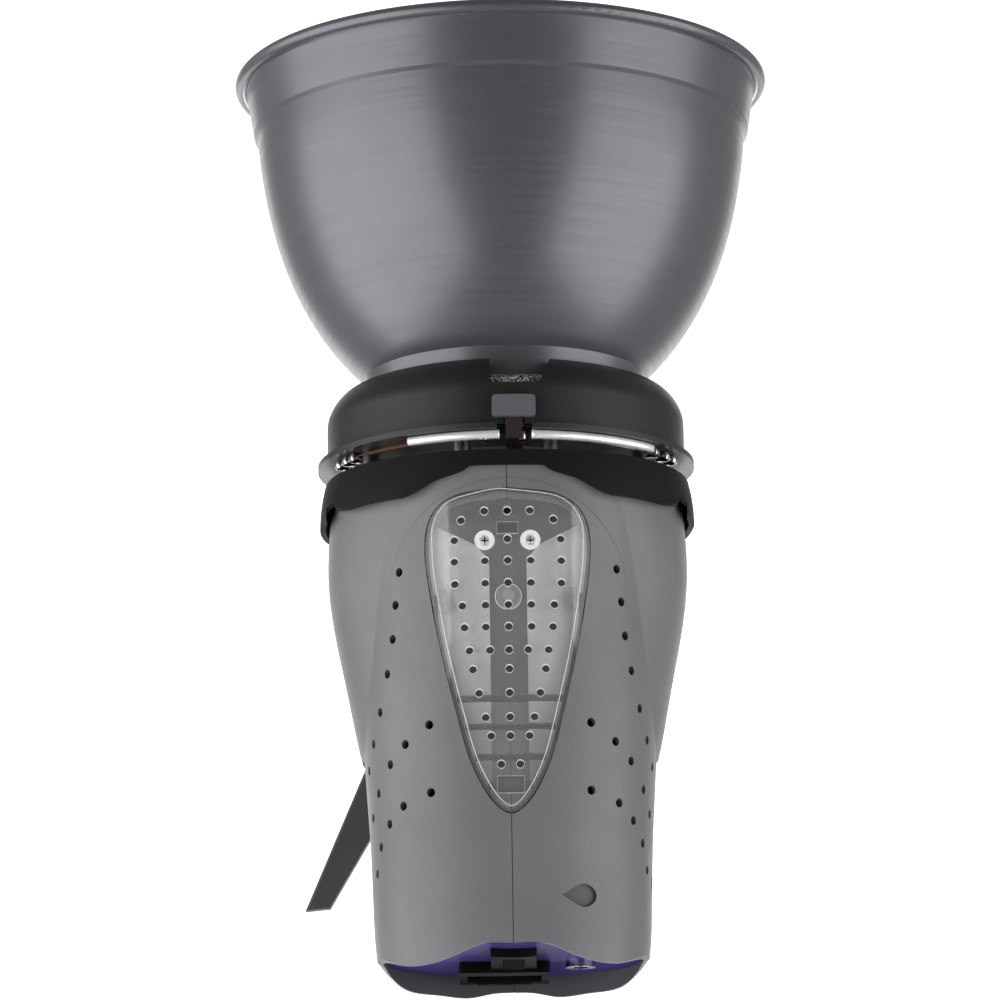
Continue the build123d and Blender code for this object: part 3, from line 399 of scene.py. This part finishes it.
WIRE_BROWN = plated_metal("wire_brown", (0.12, 0.06, 0.035), 0.4)
# Glowing materials: their emission is painted highlight on the hole linings, the cover's bead and catch
# lines, the sensor ring and the screw bosses.
FROSTED_GLOW_RIM = glowing_plastic("frosted_glow_rim", WHITE, 0.25, 0.3, 0.22)
FROSTED_GLOW_RIM.set(Coat_Weight=1.0, Coat_Roughness=0.05)
BOSS_WHITE_GLOW = glowing_plastic("boss_white_glow", WHITE, 0.3, 0.2, 0.35)

# ---- Materials on the CAD nodes ----
OWN_MATERIAL = {
    "mount_flange": FLANGE_GREY,
    "release_strap": STRAP_STEEL,
    "release_button": BUTTON_GREY,
    "photocell": SENSOR_BODY,
    "front_bumper": BUMPER_BLACK,
    "switch_bezel": RECESS_BLACK,
    "power_rocker": RECESS_BLACK,
    "mains_inlet": RECESS_BLACK,
    "fuse_drawer": RECESS_BLACK,
}
SLOT_OF = {part["node"]: part["material_slot"] for part in frame["record"]["subparts"]}
for name, node in NODES.items():
    node.data.materials.clear()
    node.data.materials.append(OWN_MATERIAL.get(name, GRAPHS[SLOT_OF[name]]).material)


def tree_of(mesh):
    """Search tree of a mesh, for casting rays at it."""
    return BVHTree.FromPolygons([v.co for v in mesh.vertices], [p.vertices for p in mesh.polygons])


def outward(polygon):
    """Direction from the optical axis to a polygon."""
    return Vector((polygon.center.x, 0, polygon.center.z - AXIS_Z)).normalized()


def polygons_under(mesh, x, y):
    """The topmost polygon at a place in plan, as a list."""
    index = tree_of(mesh).ray_cast(Vector((x, y, SKY)), DOWN)[2]
    return [] if index is None else [index]


def flood(mesh, seeds, max_angle):
    """Polygons reached from the seeds without crossing an edge sharper than max_angle degrees."""
    work = bmesh.new()
    work.from_mesh(mesh)
    bmesh.ops.remove_doubles(work, verts=work.verts, dist=SAME_POINT)
    work.faces.ensure_lookup_table()
    assert len(work.faces) == len(mesh.polygons)
    reached = set(seeds)
    waiting = [work.faces[index] for index in seeds]
    limit = math.cos(math.radians(max_angle))
    while waiting:
        face = waiting.pop()
        for edge in face.edges:
            for other in edge.link_faces:
                if other.index not in reached and face.normal.dot(other.normal) > limit:
                    reached.add(other.index)
                    waiting.append(other)
    work.free()
    return reached


def paint(node, graph, polygons):
    """Give some of a CAD node's polygons another material."""
    mesh = NODES[node].data
    mesh.materials.append(graph.material)
    index = len(mesh.materials) - 1
    for number in polygons:
        mesh.polygons[number].material_index = index


def paint_where(node, graph, wanted):
    """Give another material to the polygons of a CAD node that wanted() picks."""
    paint(node, graph, [polygon.index for polygon in NODES[node].data.polygons if wanted(polygon)])


def paint_tray():
    """The casing's tray under the clear cover: pale floors beside a dark channel."""
    share_ahead, floor_x, channel_x, bend = 0.66, 14 * MM, 4 * MM, 25
    tray_y = COVER_LOW.y + share_ahead * (COVER_HIGH.y - COVER_LOW.y)
    for node, side in (("left_casing", -1), ("right_casing", 1)):
        mesh = NODES[node].data
        for x, graph in ((floor_x, TRAY_PALE), (channel_x, TRAY_DARK)):
            paint(node, graph, flood(mesh, polygons_under(mesh, side * x, tray_y), bend))


def paint_cover_edge():
    """Satin outer wall and skirt of the cover: what lies deeper than its sheet is thick."""
    tree, sheet, smallest = tree_of(NODES["clear_cover"].data), 2.6 * MM, 1e-9

    def deep(polygon):
        hit = tree.ray_cast(polygon.center + Vector((0, 0, SKY)), DOWN)[0]
        return hit is not None and hit.z - polygon.center.z > sheet and polygon.area > smallest

    paint_where("clear_cover", COVER_EDGE, deep)


def paint_dimple_shade():
    """Painted shade on the floor of the thumb hollow in the right half of the casing."""
    mesh, x, y, bend = NODES["right_casing"].data, 27 * MM, -94 * MM, 12
    paint("right_casing", DIMPLE_SHADE, flood(mesh, polygons_under(mesh, x, y), bend))


def paint_flange_edge():
    """Dark narrow edge round the flange: painted shade on the metal plate's side faces."""
    paint_where("mount_flange", FLANGE_EDGE_SHADE, lambda polygon: abs(polygon.normal.y) < FACING_SIDE)


def paint_inner_bowl():
    """Silver inside the painted reflector bowl."""
    rim_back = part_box("reflector_bowl")[1].y - 4 * MM

    def inside(polygon):
        hollow = polygon.normal.dot(outward(polygon)) < FACING_IN or polygon.normal.y > FACING_FRONT
        return polygon.center.y < rim_back and hollow

    paint_where("reflector_bowl", GRAPHS["reflector_silver"], inside)


def paint_inner_casing_shade():
    """Unpolished plastic inside the casing's rear rim, made darker there as painted shade."""
    rim_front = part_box("rear_panel")[0].y + 12 * MM

    def inside(polygon):
        return polygon.center.y < rim_front and polygon.normal.dot(outward(polygon)) < FACING_IN

    for node in ("left_casing", "right_casing"):
        paint_where(node, INNER_SHADE, inside)


paint_tray()
paint_cover_edge()
paint_dimple_shade()
paint_flange_edge()
paint_inner_bowl()
paint_inner_casing_shade()


# ---- Shapes for the pieces that Blender adds ----
def add_piece(name, shape, graph, smooth=True):
    """A piece of the head, from its vertices and faces."""
    vertices, faces = shape
    mesh = bpy.data.meshes.new(name)
    mesh.from_pydata([tuple(v) for v in vertices], [], faces)
    mesh.materials.append(graph.material)
    for polygon in mesh.polygons:
        polygon.use_smooth = smooth
    piece = bpy.data.objects.new(name, mesh)
    bpy.context.scene.collection.objects.link(piece)
    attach(piece, "head")
    return piece


def thicken(piece, thickness, offset=-1.0):
    """Give a sheet a thickness; offset is 0 for half on each side."""
    solid = piece.modifiers.new("thickness", "SOLIDIFY")
    solid.thickness, solid.offset = thickness, offset


def merged(shapes):
    """Several shapes as one."""
    vertices, faces = [], []
    for more_vertices, more_faces in shapes:
        start = len(vertices)
        vertices += more_vertices
        faces += [tuple(start + index for index in face) for face in more_faces]
    return vertices, faces


def directions(sides):
    """Unit vectors in plan, all the way round."""
    turns = (2 * math.pi * number / sides for number in range(sides))
    return [Vector((math.cos(turn), math.sin(turn), 0)) for turn in turns]


def skin(count, size, closed=True):
    """Faces over count sections of size points each: joined in a ring, or capped at both ends."""
    faces = []
    for number in range(count if closed else count - 1):
        near, far = number * size, (number + 1) % count * size
        for side in range(size):
            step = (side + 1) % size
            faces.append((near + side, near + step, far + step, far + side))
    if not closed:
        faces.append(tuple(reversed(range(size))))
        faces.append(tuple(range((count - 1) * size, count * size)))
    return faces


def tube(points, radius, closed=False, sides=10):
    """Round tube along points."""
    vertices = []
    last = len(points) - 1
    for number, point in enumerate(points):
        if closed:
            along = points[(number + 1) % len(points)] - points[number - 1]
        else:
            along = points[min(number + 1, last)] - points[max(number - 1, 0)]
        turn = along.to_track_quat("Z", "Y")
        vertices += [point + turn @ (out * radius) for out in directions(sides)]
    return vertices, skin(len(points), sides, closed)


def turned(x, y, level, section, sides=32):
    """A closed section of (radius, depth) rows in millimetres, turned about a vertical axis."""
    vertices = [Vector((x, y, level - depth * MM)) + out * radius * MM
                for out in directions(sides) for radius, depth in section]
    return vertices, skin(sides, len(section))


def disc(x, y, bottom, radius, height, sides=24):
    """Flat disc with a small bevel round its top."""
    bevel = 0.25 * height
    rows = ((radius, 0), (radius, 0.5 * height), (radius, height - bevel), (radius - bevel, height))
    size = len(rows)
    vertices = [Vector((x, y, bottom + lift)) + out * reach
                for out in directions(sides) for reach, lift in rows]
    faces = [tuple(range(size * (sides - 1), -1, -size)), tuple(range(size - 1, size * sides, size))]
    for number in range(sides):
        near, far = size * number, size * ((number + 1) % sides)
        faces += [(near + row, far + row, far + row + 1, near + row + 1) for row in range(size - 1)]
    return vertices, faces


def slab(x, y, bottom, half_x, half_y, height):
    """Flat box, from its middle in plan and its bottom."""
    vertices = [Vector((x + across * half_x, y + along * half_y, bottom + lift))
                for lift in (0, height) for across, along in ((-1, -1), (1, -1), (1, 1), (-1, 1))]
    faces = [(3, 2, 1, 0), (4, 5, 6, 7), (0, 1, 5, 4), (1, 2, 6, 5), (2, 3, 7, 6), (3, 0, 4, 7)]
    return vertices, faces


def ring_point(angle, radius, y):
    """Point about the optical axis; the angle is in degrees from +X towards +Z."""
    turn = math.radians(angle)
    return Vector((radius * math.cos(turn), y, AXIS_Z + radius * math.sin(turn)))


def band(start, end, inner, outer, y0, y1, steps=48):
    """Part of a flat ring between two angles, with slightly rounded outer corners."""
    ease = 0.25 * (y1 - y0)
    section = [(inner, y0), (outer - ease, y0), (outer, y0 + ease), (outer, y1 - ease),
               (outer - ease, y1), (inner, y1)]
    angles = [start + (end - start) * number / steps for number in range(steps + 1)]
    vertices = [ring_point(angle, radius, y) for angle in angles for radius, y in section]
    return vertices, skin(steps + 1, len(section), closed=False)


# ---- The cover's surface and holes ----
COVER_MESH = NODES["clear_cover"].data
COVER_TREE = tree_of(COVER_MESH)
COVER_HOLE_R = 1.7 * MM


def cover_top(x, y):
    """Height of the cover's top at a place in plan."""
    hit = COVER_TREE.ray_cast(Vector((x, y, SKY)), DOWN)[0]
    return hit.z if hit else AXIS_Z


def mean(rows):
    """Middle of rows that start with x and y."""
    return sum(row[0] for row in rows) / len(rows), sum(row[1] for row in rows) / len(rows)


def quarter(angle):
    """Which quarter turn an angle in radians falls in."""
    return int((angle + math.pi) / (math.pi / 2)) % 4


def hole_centres():
    """Centres in plan of the cover's round holes, from the walls that lie all round each."""
    steepest, smallest, grid, near = 0.1, 1e-8, 1.6 * MM, 0.4 * MM
    found = {}
    for polygon in COVER_MESH.polygons:
        normal = polygon.normal
        if abs(normal.z) > steepest or polygon.area < smallest:
            continue
        centre = polygon.center + Vector((normal.x, normal.y, 0)).normalized() * COVER_HOLE_R
        key = (round(centre.x / grid), round(centre.y / grid))
        found.setdefault(key, []).append((centre.x, centre.y, math.atan2(normal.y, normal.x)))
    holes = []
    for rows in found.values():
        known = next((hole for hole in holes if math.dist(mean(hole), mean(rows)) < near), None)
        if known is None:
            holes.append(list(rows))
        else:
            known += rows
    return sorted(mean(hole) for hole in holes if len({quarter(row[2]) for row in hole}) == 4)


def screw_places(holes):
    """Centres in plan of the two cover holes that stand over the screws."""
    low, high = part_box("cover_screws")
    y, reach = 0.5 * (low.y + high.y), high.x - 3.1 * MM
    return [min(holes, key=lambda hole: math.dist(hole, (x, y))) for x in (-reach, reach)]


ALL_HOLES = hole_centres()
SCREW_HOLES = screw_places(ALL_HOLES)
OPEN_HOLES = [hole for hole in ALL_HOLES if hole not in SCREW_HOLES]


# ---- Pieces on and under the cover ----
LINING_DEPTH = 2.8 * MM


def lining(x, y, inner, outer, depth, sides=28):
    """Short tube that lines a hole, its upper end following the cover."""
    clear_of_hole, proud, chamfer = 0.25 * MM, 0.05 * MM, 0.12 * MM
    vertices = []
    for out in directions(sides):
        edge = Vector((x, y, 0)) + out * (outer + clear_of_hole)
        top = cover_top(edge.x, edge.y) + proud
        for reach, drop in ((inner, 0), (outer, chamfer), (outer, depth), (inner, depth)):
            vertices.append(Vector((x, y, top - drop)) + out * reach)
    return vertices, skin(sides, 4)


def plug(x, y, radius, depth, sides=24):
    """Shallow dished disc at the bottom of a hole's lining."""
    thickness, dish = 0.25 * MM, 0.35 * MM
    level = cover_top(x, y + radius + 0.6 * MM) - depth
    vertices = [Vector((x, y, level - dish)), Vector((x, y, level - dish - thickness))]
    for out in directions(sides):
        edge = Vector((x, y, level)) + out * radius
        vertices += [edge, edge + DOWN * thickness]
    faces = []
    for number in range(sides):
        near, far = 2 + 2 * number, 2 + 2 * ((number + 1) % sides)
        faces += [(0, near, far), (near, near + 1, far + 1, far), (1, far + 1, near + 1)]
    return vertices, faces


def make_hole_rims():
    """Frosted lining of each hole, its glow a painted highlight, and grey floor of each hole; the port
    stands under the foremost.
    """
    linings = [lining(x, y, COVER_HOLE_R - 0.06 * MM, COVER_HOLE_R + 0.03 * MM, LINING_DEPTH)
               for x, y in OPEN_HOLES]
    add_piece("cover_hole_rims", merged(linings), FROSTED_GLOW_RIM)
    front = max(y for x, y in OPEN_HOLES) - 0.5 * MM
    plugs = [plug(x, y, COVER_HOLE_R - 0.1 * MM, LINING_DEPTH - 0.1 * MM)
             for x, y in OPEN_HOLES if abs(x) > 1 * MM or y < front]
    add_piece("cover_hole_floors", merged(plugs), HOLE_GREY)


def cover_outline(count, inset):
    """The cover's outline in plan, evenly divided, moved inwards and laid on its surface."""
    flat = [Vector(vertex.co[:2]) for vertex in COVER_MESH.vertices]
    corners = [flat[index] for index in convex_hull_2d(flat)]
    ends = corners[1:] + corners[:1]
    lengths = [(end - start).length for start, end in zip(corners, ends)]
    points = []
    for number in range(count):
        left, corner = sum(lengths) * number / count, 0
        while left > lengths[corner]:
            left -= lengths[corner]
            corner += 1
        along = (ends[corner] - corners[corner]).normalized()
        place = corners[corner] + along * left
        place += Vector((-along.y, along.x)) * inset(place)
        hit = COVER_TREE.ray_cast(Vector((place.x, place.y, SKY)), DOWN)[0]
        if hit:
            points.append(hit)
    return points


def make_cover_bead():
    """Fine bead along the cover's edge at its front, a little inside it along the sides, whose glow is a
    painted highlight.
    """
    at_front, further, run = 0.5 * MM, 2.1 * MM, 22 * MM

    def inset(place):
        return at_front + further * min(1.0, (COVER_HIGH.y - place.y) / run)

    bead = tube(cover_outline(96, inset), 0.12 * MM, closed=True)
    add_piece("cover_bead", bead, FROSTED_GLOW_RIM)


def make_screw_bosses():
    """Frosted conical bosses that the cover's screws sit in, glowing with painted light, and the screws'
    crossed heads, their crosses dark marks of painted shade.
    """
    section = ((4.1, 0.6), (3.8, 2.2), (2.2, 2.4), (2.1, 2.2), (2.2, 1.4), (3.8, 0.3))
    sink, head_depth, head_height = 2.3 * MM, 1.9 * MM, 0.4 * MM
    long, wide, mark = 1.5 * MM, 0.28 * MM, 0.03 * MM
    bosses, heads, crosses = [], [], []
    for x, y in SCREW_HOLES:
        level = cover_top(x + 2.4 * MM, y) - sink
        bosses.append(turned(x, y, level, section))
        heads.append(disc(x, y, level - head_depth, 2.25 * MM, head_height))
        # The dark crosses are painted shade for the screws' cross recesses.
        for half_x, half_y in ((long, wide), (wide, long)):
            top = level - head_depth + head_height + 0.01 * MM
            crosses.append(slab(x, y, top, half_x, half_y, mark))
    add_piece("cover_screw_bosses", merged(bosses), BOSS_WHITE_GLOW)
    add_piece("cover_screw_heads", merged(heads), BRIGHT_RING)
    add_piece("cover_screw_crosses", merged(crosses), JOINT_AND_SHADE_DARK, smooth=False)


def make_catch_lines():
    """Edges of the cover's rear and front catches, seen through it, drawn as glowing lines of painted
    highlight.
    """
    below, lines = 2.2 * MM, []
    for half, y0, y1 in ((5.4 * MM, -53.2 * MM, -46.4 * MM), (4.3 * MM, 50.6 * MM, 55.4 * MM)):
        corners = ((-half, y0), (half, y0), (half, y1), (-half, y1))
        laid = [Vector((x, y, cover_top(x, y) - below)) for x, y in corners]
        lines.append(tube(laid, 0.11 * MM, closed=True))
    add_piece("cover_catch_lines", merged(lines), FROSTED_GLOW_RIM)


def make_sensor_ring():
    """Frosted ring of the photocell under the cover, glowing as a painted highlight, and its lens."""
    low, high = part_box("photocell")
    middle = 0.5 * (low + high)
    radius = 0.5 * (high.x - low.x) + 0.3 * MM
    centre = Vector((0, middle.y, high.z - 0.9 * MM))
    ring = tube([centre + out * radius for out in directions(40)], 0.2 * MM, closed=True)
    add_piece("sensor_ring", ring, FROSTED_GLOW_RIM)
    lens = disc(0, middle.y + 0.4 * MM, high.z - 0.1 * MM, 2.7 * MM, 1.0 * MM)
    add_piece("sensor_lens", lens, SENSOR_LENS)


def make_cover_pads():
    """Thin brown-grey pads at the cover's two side catches."""
    below, thickness, pads = 2.3 * MM, 0.5 * MM, []
    inner, outer, rear, front = 25.3 * MM, 27.9 * MM, 19.6 * MM, 29.0 * MM
    for side in (-1, 1):
        vertices = []
        for y in (rear, front):
            for x in (side * inner, side * outer):
                level = cover_top(x, y) - below
                vertices += [Vector((x, y, level)), Vector((x, y, level - thickness))]
        faces = [(0, 2, 6, 4), (1, 5, 7, 3), (0, 1, 3, 2), (2, 3, 7, 6), (6, 7, 5, 4), (4, 5, 1, 0)]
        pads.append((vertices, faces))
    add_piece("cover_pads", merged(pads), PAD_BROWN, smooth=False)


def make_front_port():
    """Dark round port under the cover's foremost middle hole."""
    section = ((3.7, 0.3), (3.7, 3.2), (2.1, 3.2), (2.1, 0.3), (2.5, 0), (3.3, 0))
    y = COVER_HIGH.y - 9.2 * MM
    level = cover_top(2.2 * MM, y) - 2.9 * MM
    add_piece("front_port", turned(0, y, level, section), TRAY_PORT)


def make_louvre_shade_sheet():
    """Dark sheet inside the casing, under the louvres, folded down at its sides: painted shade, so the
    louvres show dark instead of the parts inside.
    """
    level = AXIS_Z + 44 * MM
    y0, y1 = COVER_LOW.y + 1 * MM, COVER_LOW.y + 0.5 * (COVER_HIGH.y - COVER_LOW.y)
    section = [(-25, -5), (-24, -1.2), (-21, 0), (0, 0.3), (21, 0), (24, -1.2), (25, -5)]
    vertices = [Vector((x * MM, y, level + lift * MM)) for y in (y0, y1) for x, lift in section]
    count = len(section)
    faces = [(n, n + 1, count + n + 1, count + n) for n in range(count - 1)]
    thicken(add_piece("louvre_shade_sheet", (vertices, faces), JOINT_AND_SHADE_DARK), 0.4 * MM)


# ---- Pieces on the casing and the mount ----
def make_seam_gasket():
    """Dark strip that closes the seam between the two shells, just below their surface."""
    sink, flat = 0.35 * MM, 0.01 * MM
    work = bmesh.new()
    work.from_mesh(NODES["right_casing"].data)
    bmesh.ops.remove_doubles(work, verts=work.verts, dist=SAME_POINT)
    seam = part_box("right_casing")[0].x
    off = [face for face in work.faces if any(abs(v.co.x - seam) > flat for v in face.verts)]
    bmesh.ops.delete(work, geom=off, context="FACES")
    shifts = {}
    for edge in work.edges:
        if len(edge.link_faces) == 1:
            first, second = edge.verts
            along = (second.co - first.co).normalized()
            inward = Vector((0, -along.z, along.y))
            if inward.dot(edge.link_faces[0].calc_center_median() - first.co) < 0:
                inward.negate()
            for vertex in edge.verts:
                shifts.setdefault(vertex, []).append(inward)
    for vertex, inwards in shifts.items():
        vertex.co += sum(inwards, Vector()).normalized() * sink
    vertices = [Vector((0.0, vertex.co.y, vertex.co.z)) for vertex in work.verts]
    work.verts.index_update()
    faces = [tuple(vertex.index for vertex in face.verts) for face in work.faces]
    work.free()
    piece = add_piece("seam_gasket", (vertices, faces), JOINT_AND_SHADE_DARK, smooth=False)
    thicken(piece, 0.34 * MM, 0.0)


def make_mount_ring():
    """Polished ring segments behind the flange, with the wires and clips of the gap."""
    y1 = FLANGE_LOW.y - 0.2 * MM
    y0 = y1 - 3.3 * MM
    inner, outer = 73 * MM, 76.6 * MM
    segments = [band(start, end, inner, outer, y0, y1) for start, end in ((92, 121.5), (37.5, 82))]
    add_piece("mount_ring", merged(segments), BRIGHT_RING)
    wires, spans = [], 16
    for lift, start, end in ((0.0, 121, 146), (0.9, 119, 139), (1.9, 41, 33)):
        radius, y = (73.5 + lift) * MM, y0 + (1.2 - lift) * MM
        angles = [start + (end - start) * n / spans for n in range(spans + 1)]
        wires.append(tube([ring_point(angle, radius, y) for angle in angles], 0.4 * MM))
    add_piece("mount_wires", merged(wires), WIRE_BROWN)
    clips = [band(angle, angle + 2.2, 70 * MM, 75.2 * MM, y0 - 0.8 * MM, y1, 4)
             for angle in (20, 26, 33, 96, 84, 147, 152, 158)]
    add_piece("mount_clips", merged(clips), GRAPHS["polished_steel"])


make_hole_rims()
make_cover_bead()
make_seam_gasket()
make_louvre_shade_sheet()
make_screw_bosses()
make_catch_lines()
make_sensor_ring()
make_cover_pads()
make_front_port()
make_mount_ring()


# ---- Stage, light and camera ----
def add_object(name, data):
    thing = bpy.data.objects.new(name, data)
    bpy.context.scene.collection.objects.link(thing)
    return thing


def make_floor():
    """Plain pale floor, well below the head."""
    drop, half, ahead = 1.1, 0.75, 0.3
    colour = (0.9, 0.9, 0.9)
    graph = Graph("pale_floor")
    graph.set(Roughness=0.9, Emission_Color=(1, 1, 1, 1), Emission_Strength=1.0)
    graph.colour(graph.blend(graph.noise(0.4, 2.0), colour, shade(colour, 0.99)))
    mesh = bpy.data.meshes.new("floor")
    corners = [(x * half, y * half + ahead, -drop) for x, y in ((-1, -1), (1, -1), (1, 1), (-1, 1))]
    mesh.from_pydata(corners, [], [(0, 1, 2, 3)])
    mesh.materials.append(graph.material)
    floor = add_object("floor", mesh)


def area_light(name, place, target, width, height, power):
    """Soft box at a place, turned to a target and hidden from the camera."""
    light = bpy.data.lights.new(name, "AREA")
    light.shape = "RECTANGLE"
    light.size, light.size_y = width, height
    light.energy = power
    lamp = add_object(name, light)
    lamp.visible_camera = False
    lamp.location = place
    lamp.rotation_euler = (Vector(target) - Vector(place)).to_track_quat("-Z", "Y").to_euler()


def make_world():
    """Soft surroundings: pale about the horizon and dim overhead."""
    at_horizon, overhead, height = 0.30, 0.09, 0.6
    world = bpy.data.worlds.new("studio")
    world.use_nodes = True
    nodes, links = world.node_tree.nodes, world.node_tree.links
    place = nodes.new("ShaderNodeTexCoord")
    split = nodes.new("ShaderNodeSeparateXYZ")
    spread = nodes.new("ShaderNodeMapRange")
    spread.inputs["From Min"].default_value = 0.0
    spread.inputs["From Max"].default_value = height
    spread.inputs["To Min"].default_value = at_horizon
    spread.inputs["To Max"].default_value = overhead
    links.new(place.outputs["Generated"], split.inputs["Vector"])
    links.new(split.outputs["Z"], spread.inputs["Value"])
    links.new(spread.outputs["Result"], nodes["Background"].inputs["Color"])
    bpy.context.scene.world = world


def make_lights():
    middle = (0, 0.05, AXIS_Z)
    area_light("left_softbox", (-1.45, -0.38, 0.72), middle, 2.3, 2.7, 44)
    area_light("right_softbox", (1.4, -0.35, 0.8), middle, 1.9, 1.9, 25)
    make_world()


def make_camera():
    """A long lens above the head, a little behind it, which sees it near the middle of the view."""
    elevation, roll, distance = math.radians(77.1), math.radians(-0.86), 2.086
    aim = Vector((-2.75 * MM, FLANGE_Y - 13.15 * MM, AXIS_Z))
    back = Vector((0, -math.cos(elevation), math.sin(elevation)))
    data = bpy.data.cameras.new("camera")
    data.lens, data.sensor_width = 180, 36
    data.clip_end = 50
    camera = add_object("camera", data)
    camera.location = aim + distance * back
    look = (-back).to_track_quat("-Z", "Y").to_matrix().to_4x4()
    camera.rotation_euler = (look @ Matrix.Rotation(roll, 4, "Z")).to_euler()
    bpy.context.scene.camera = camera


make_floor()
make_lights()
make_camera()
bpy.context.scene.view_settings.view_transform = "Standard"
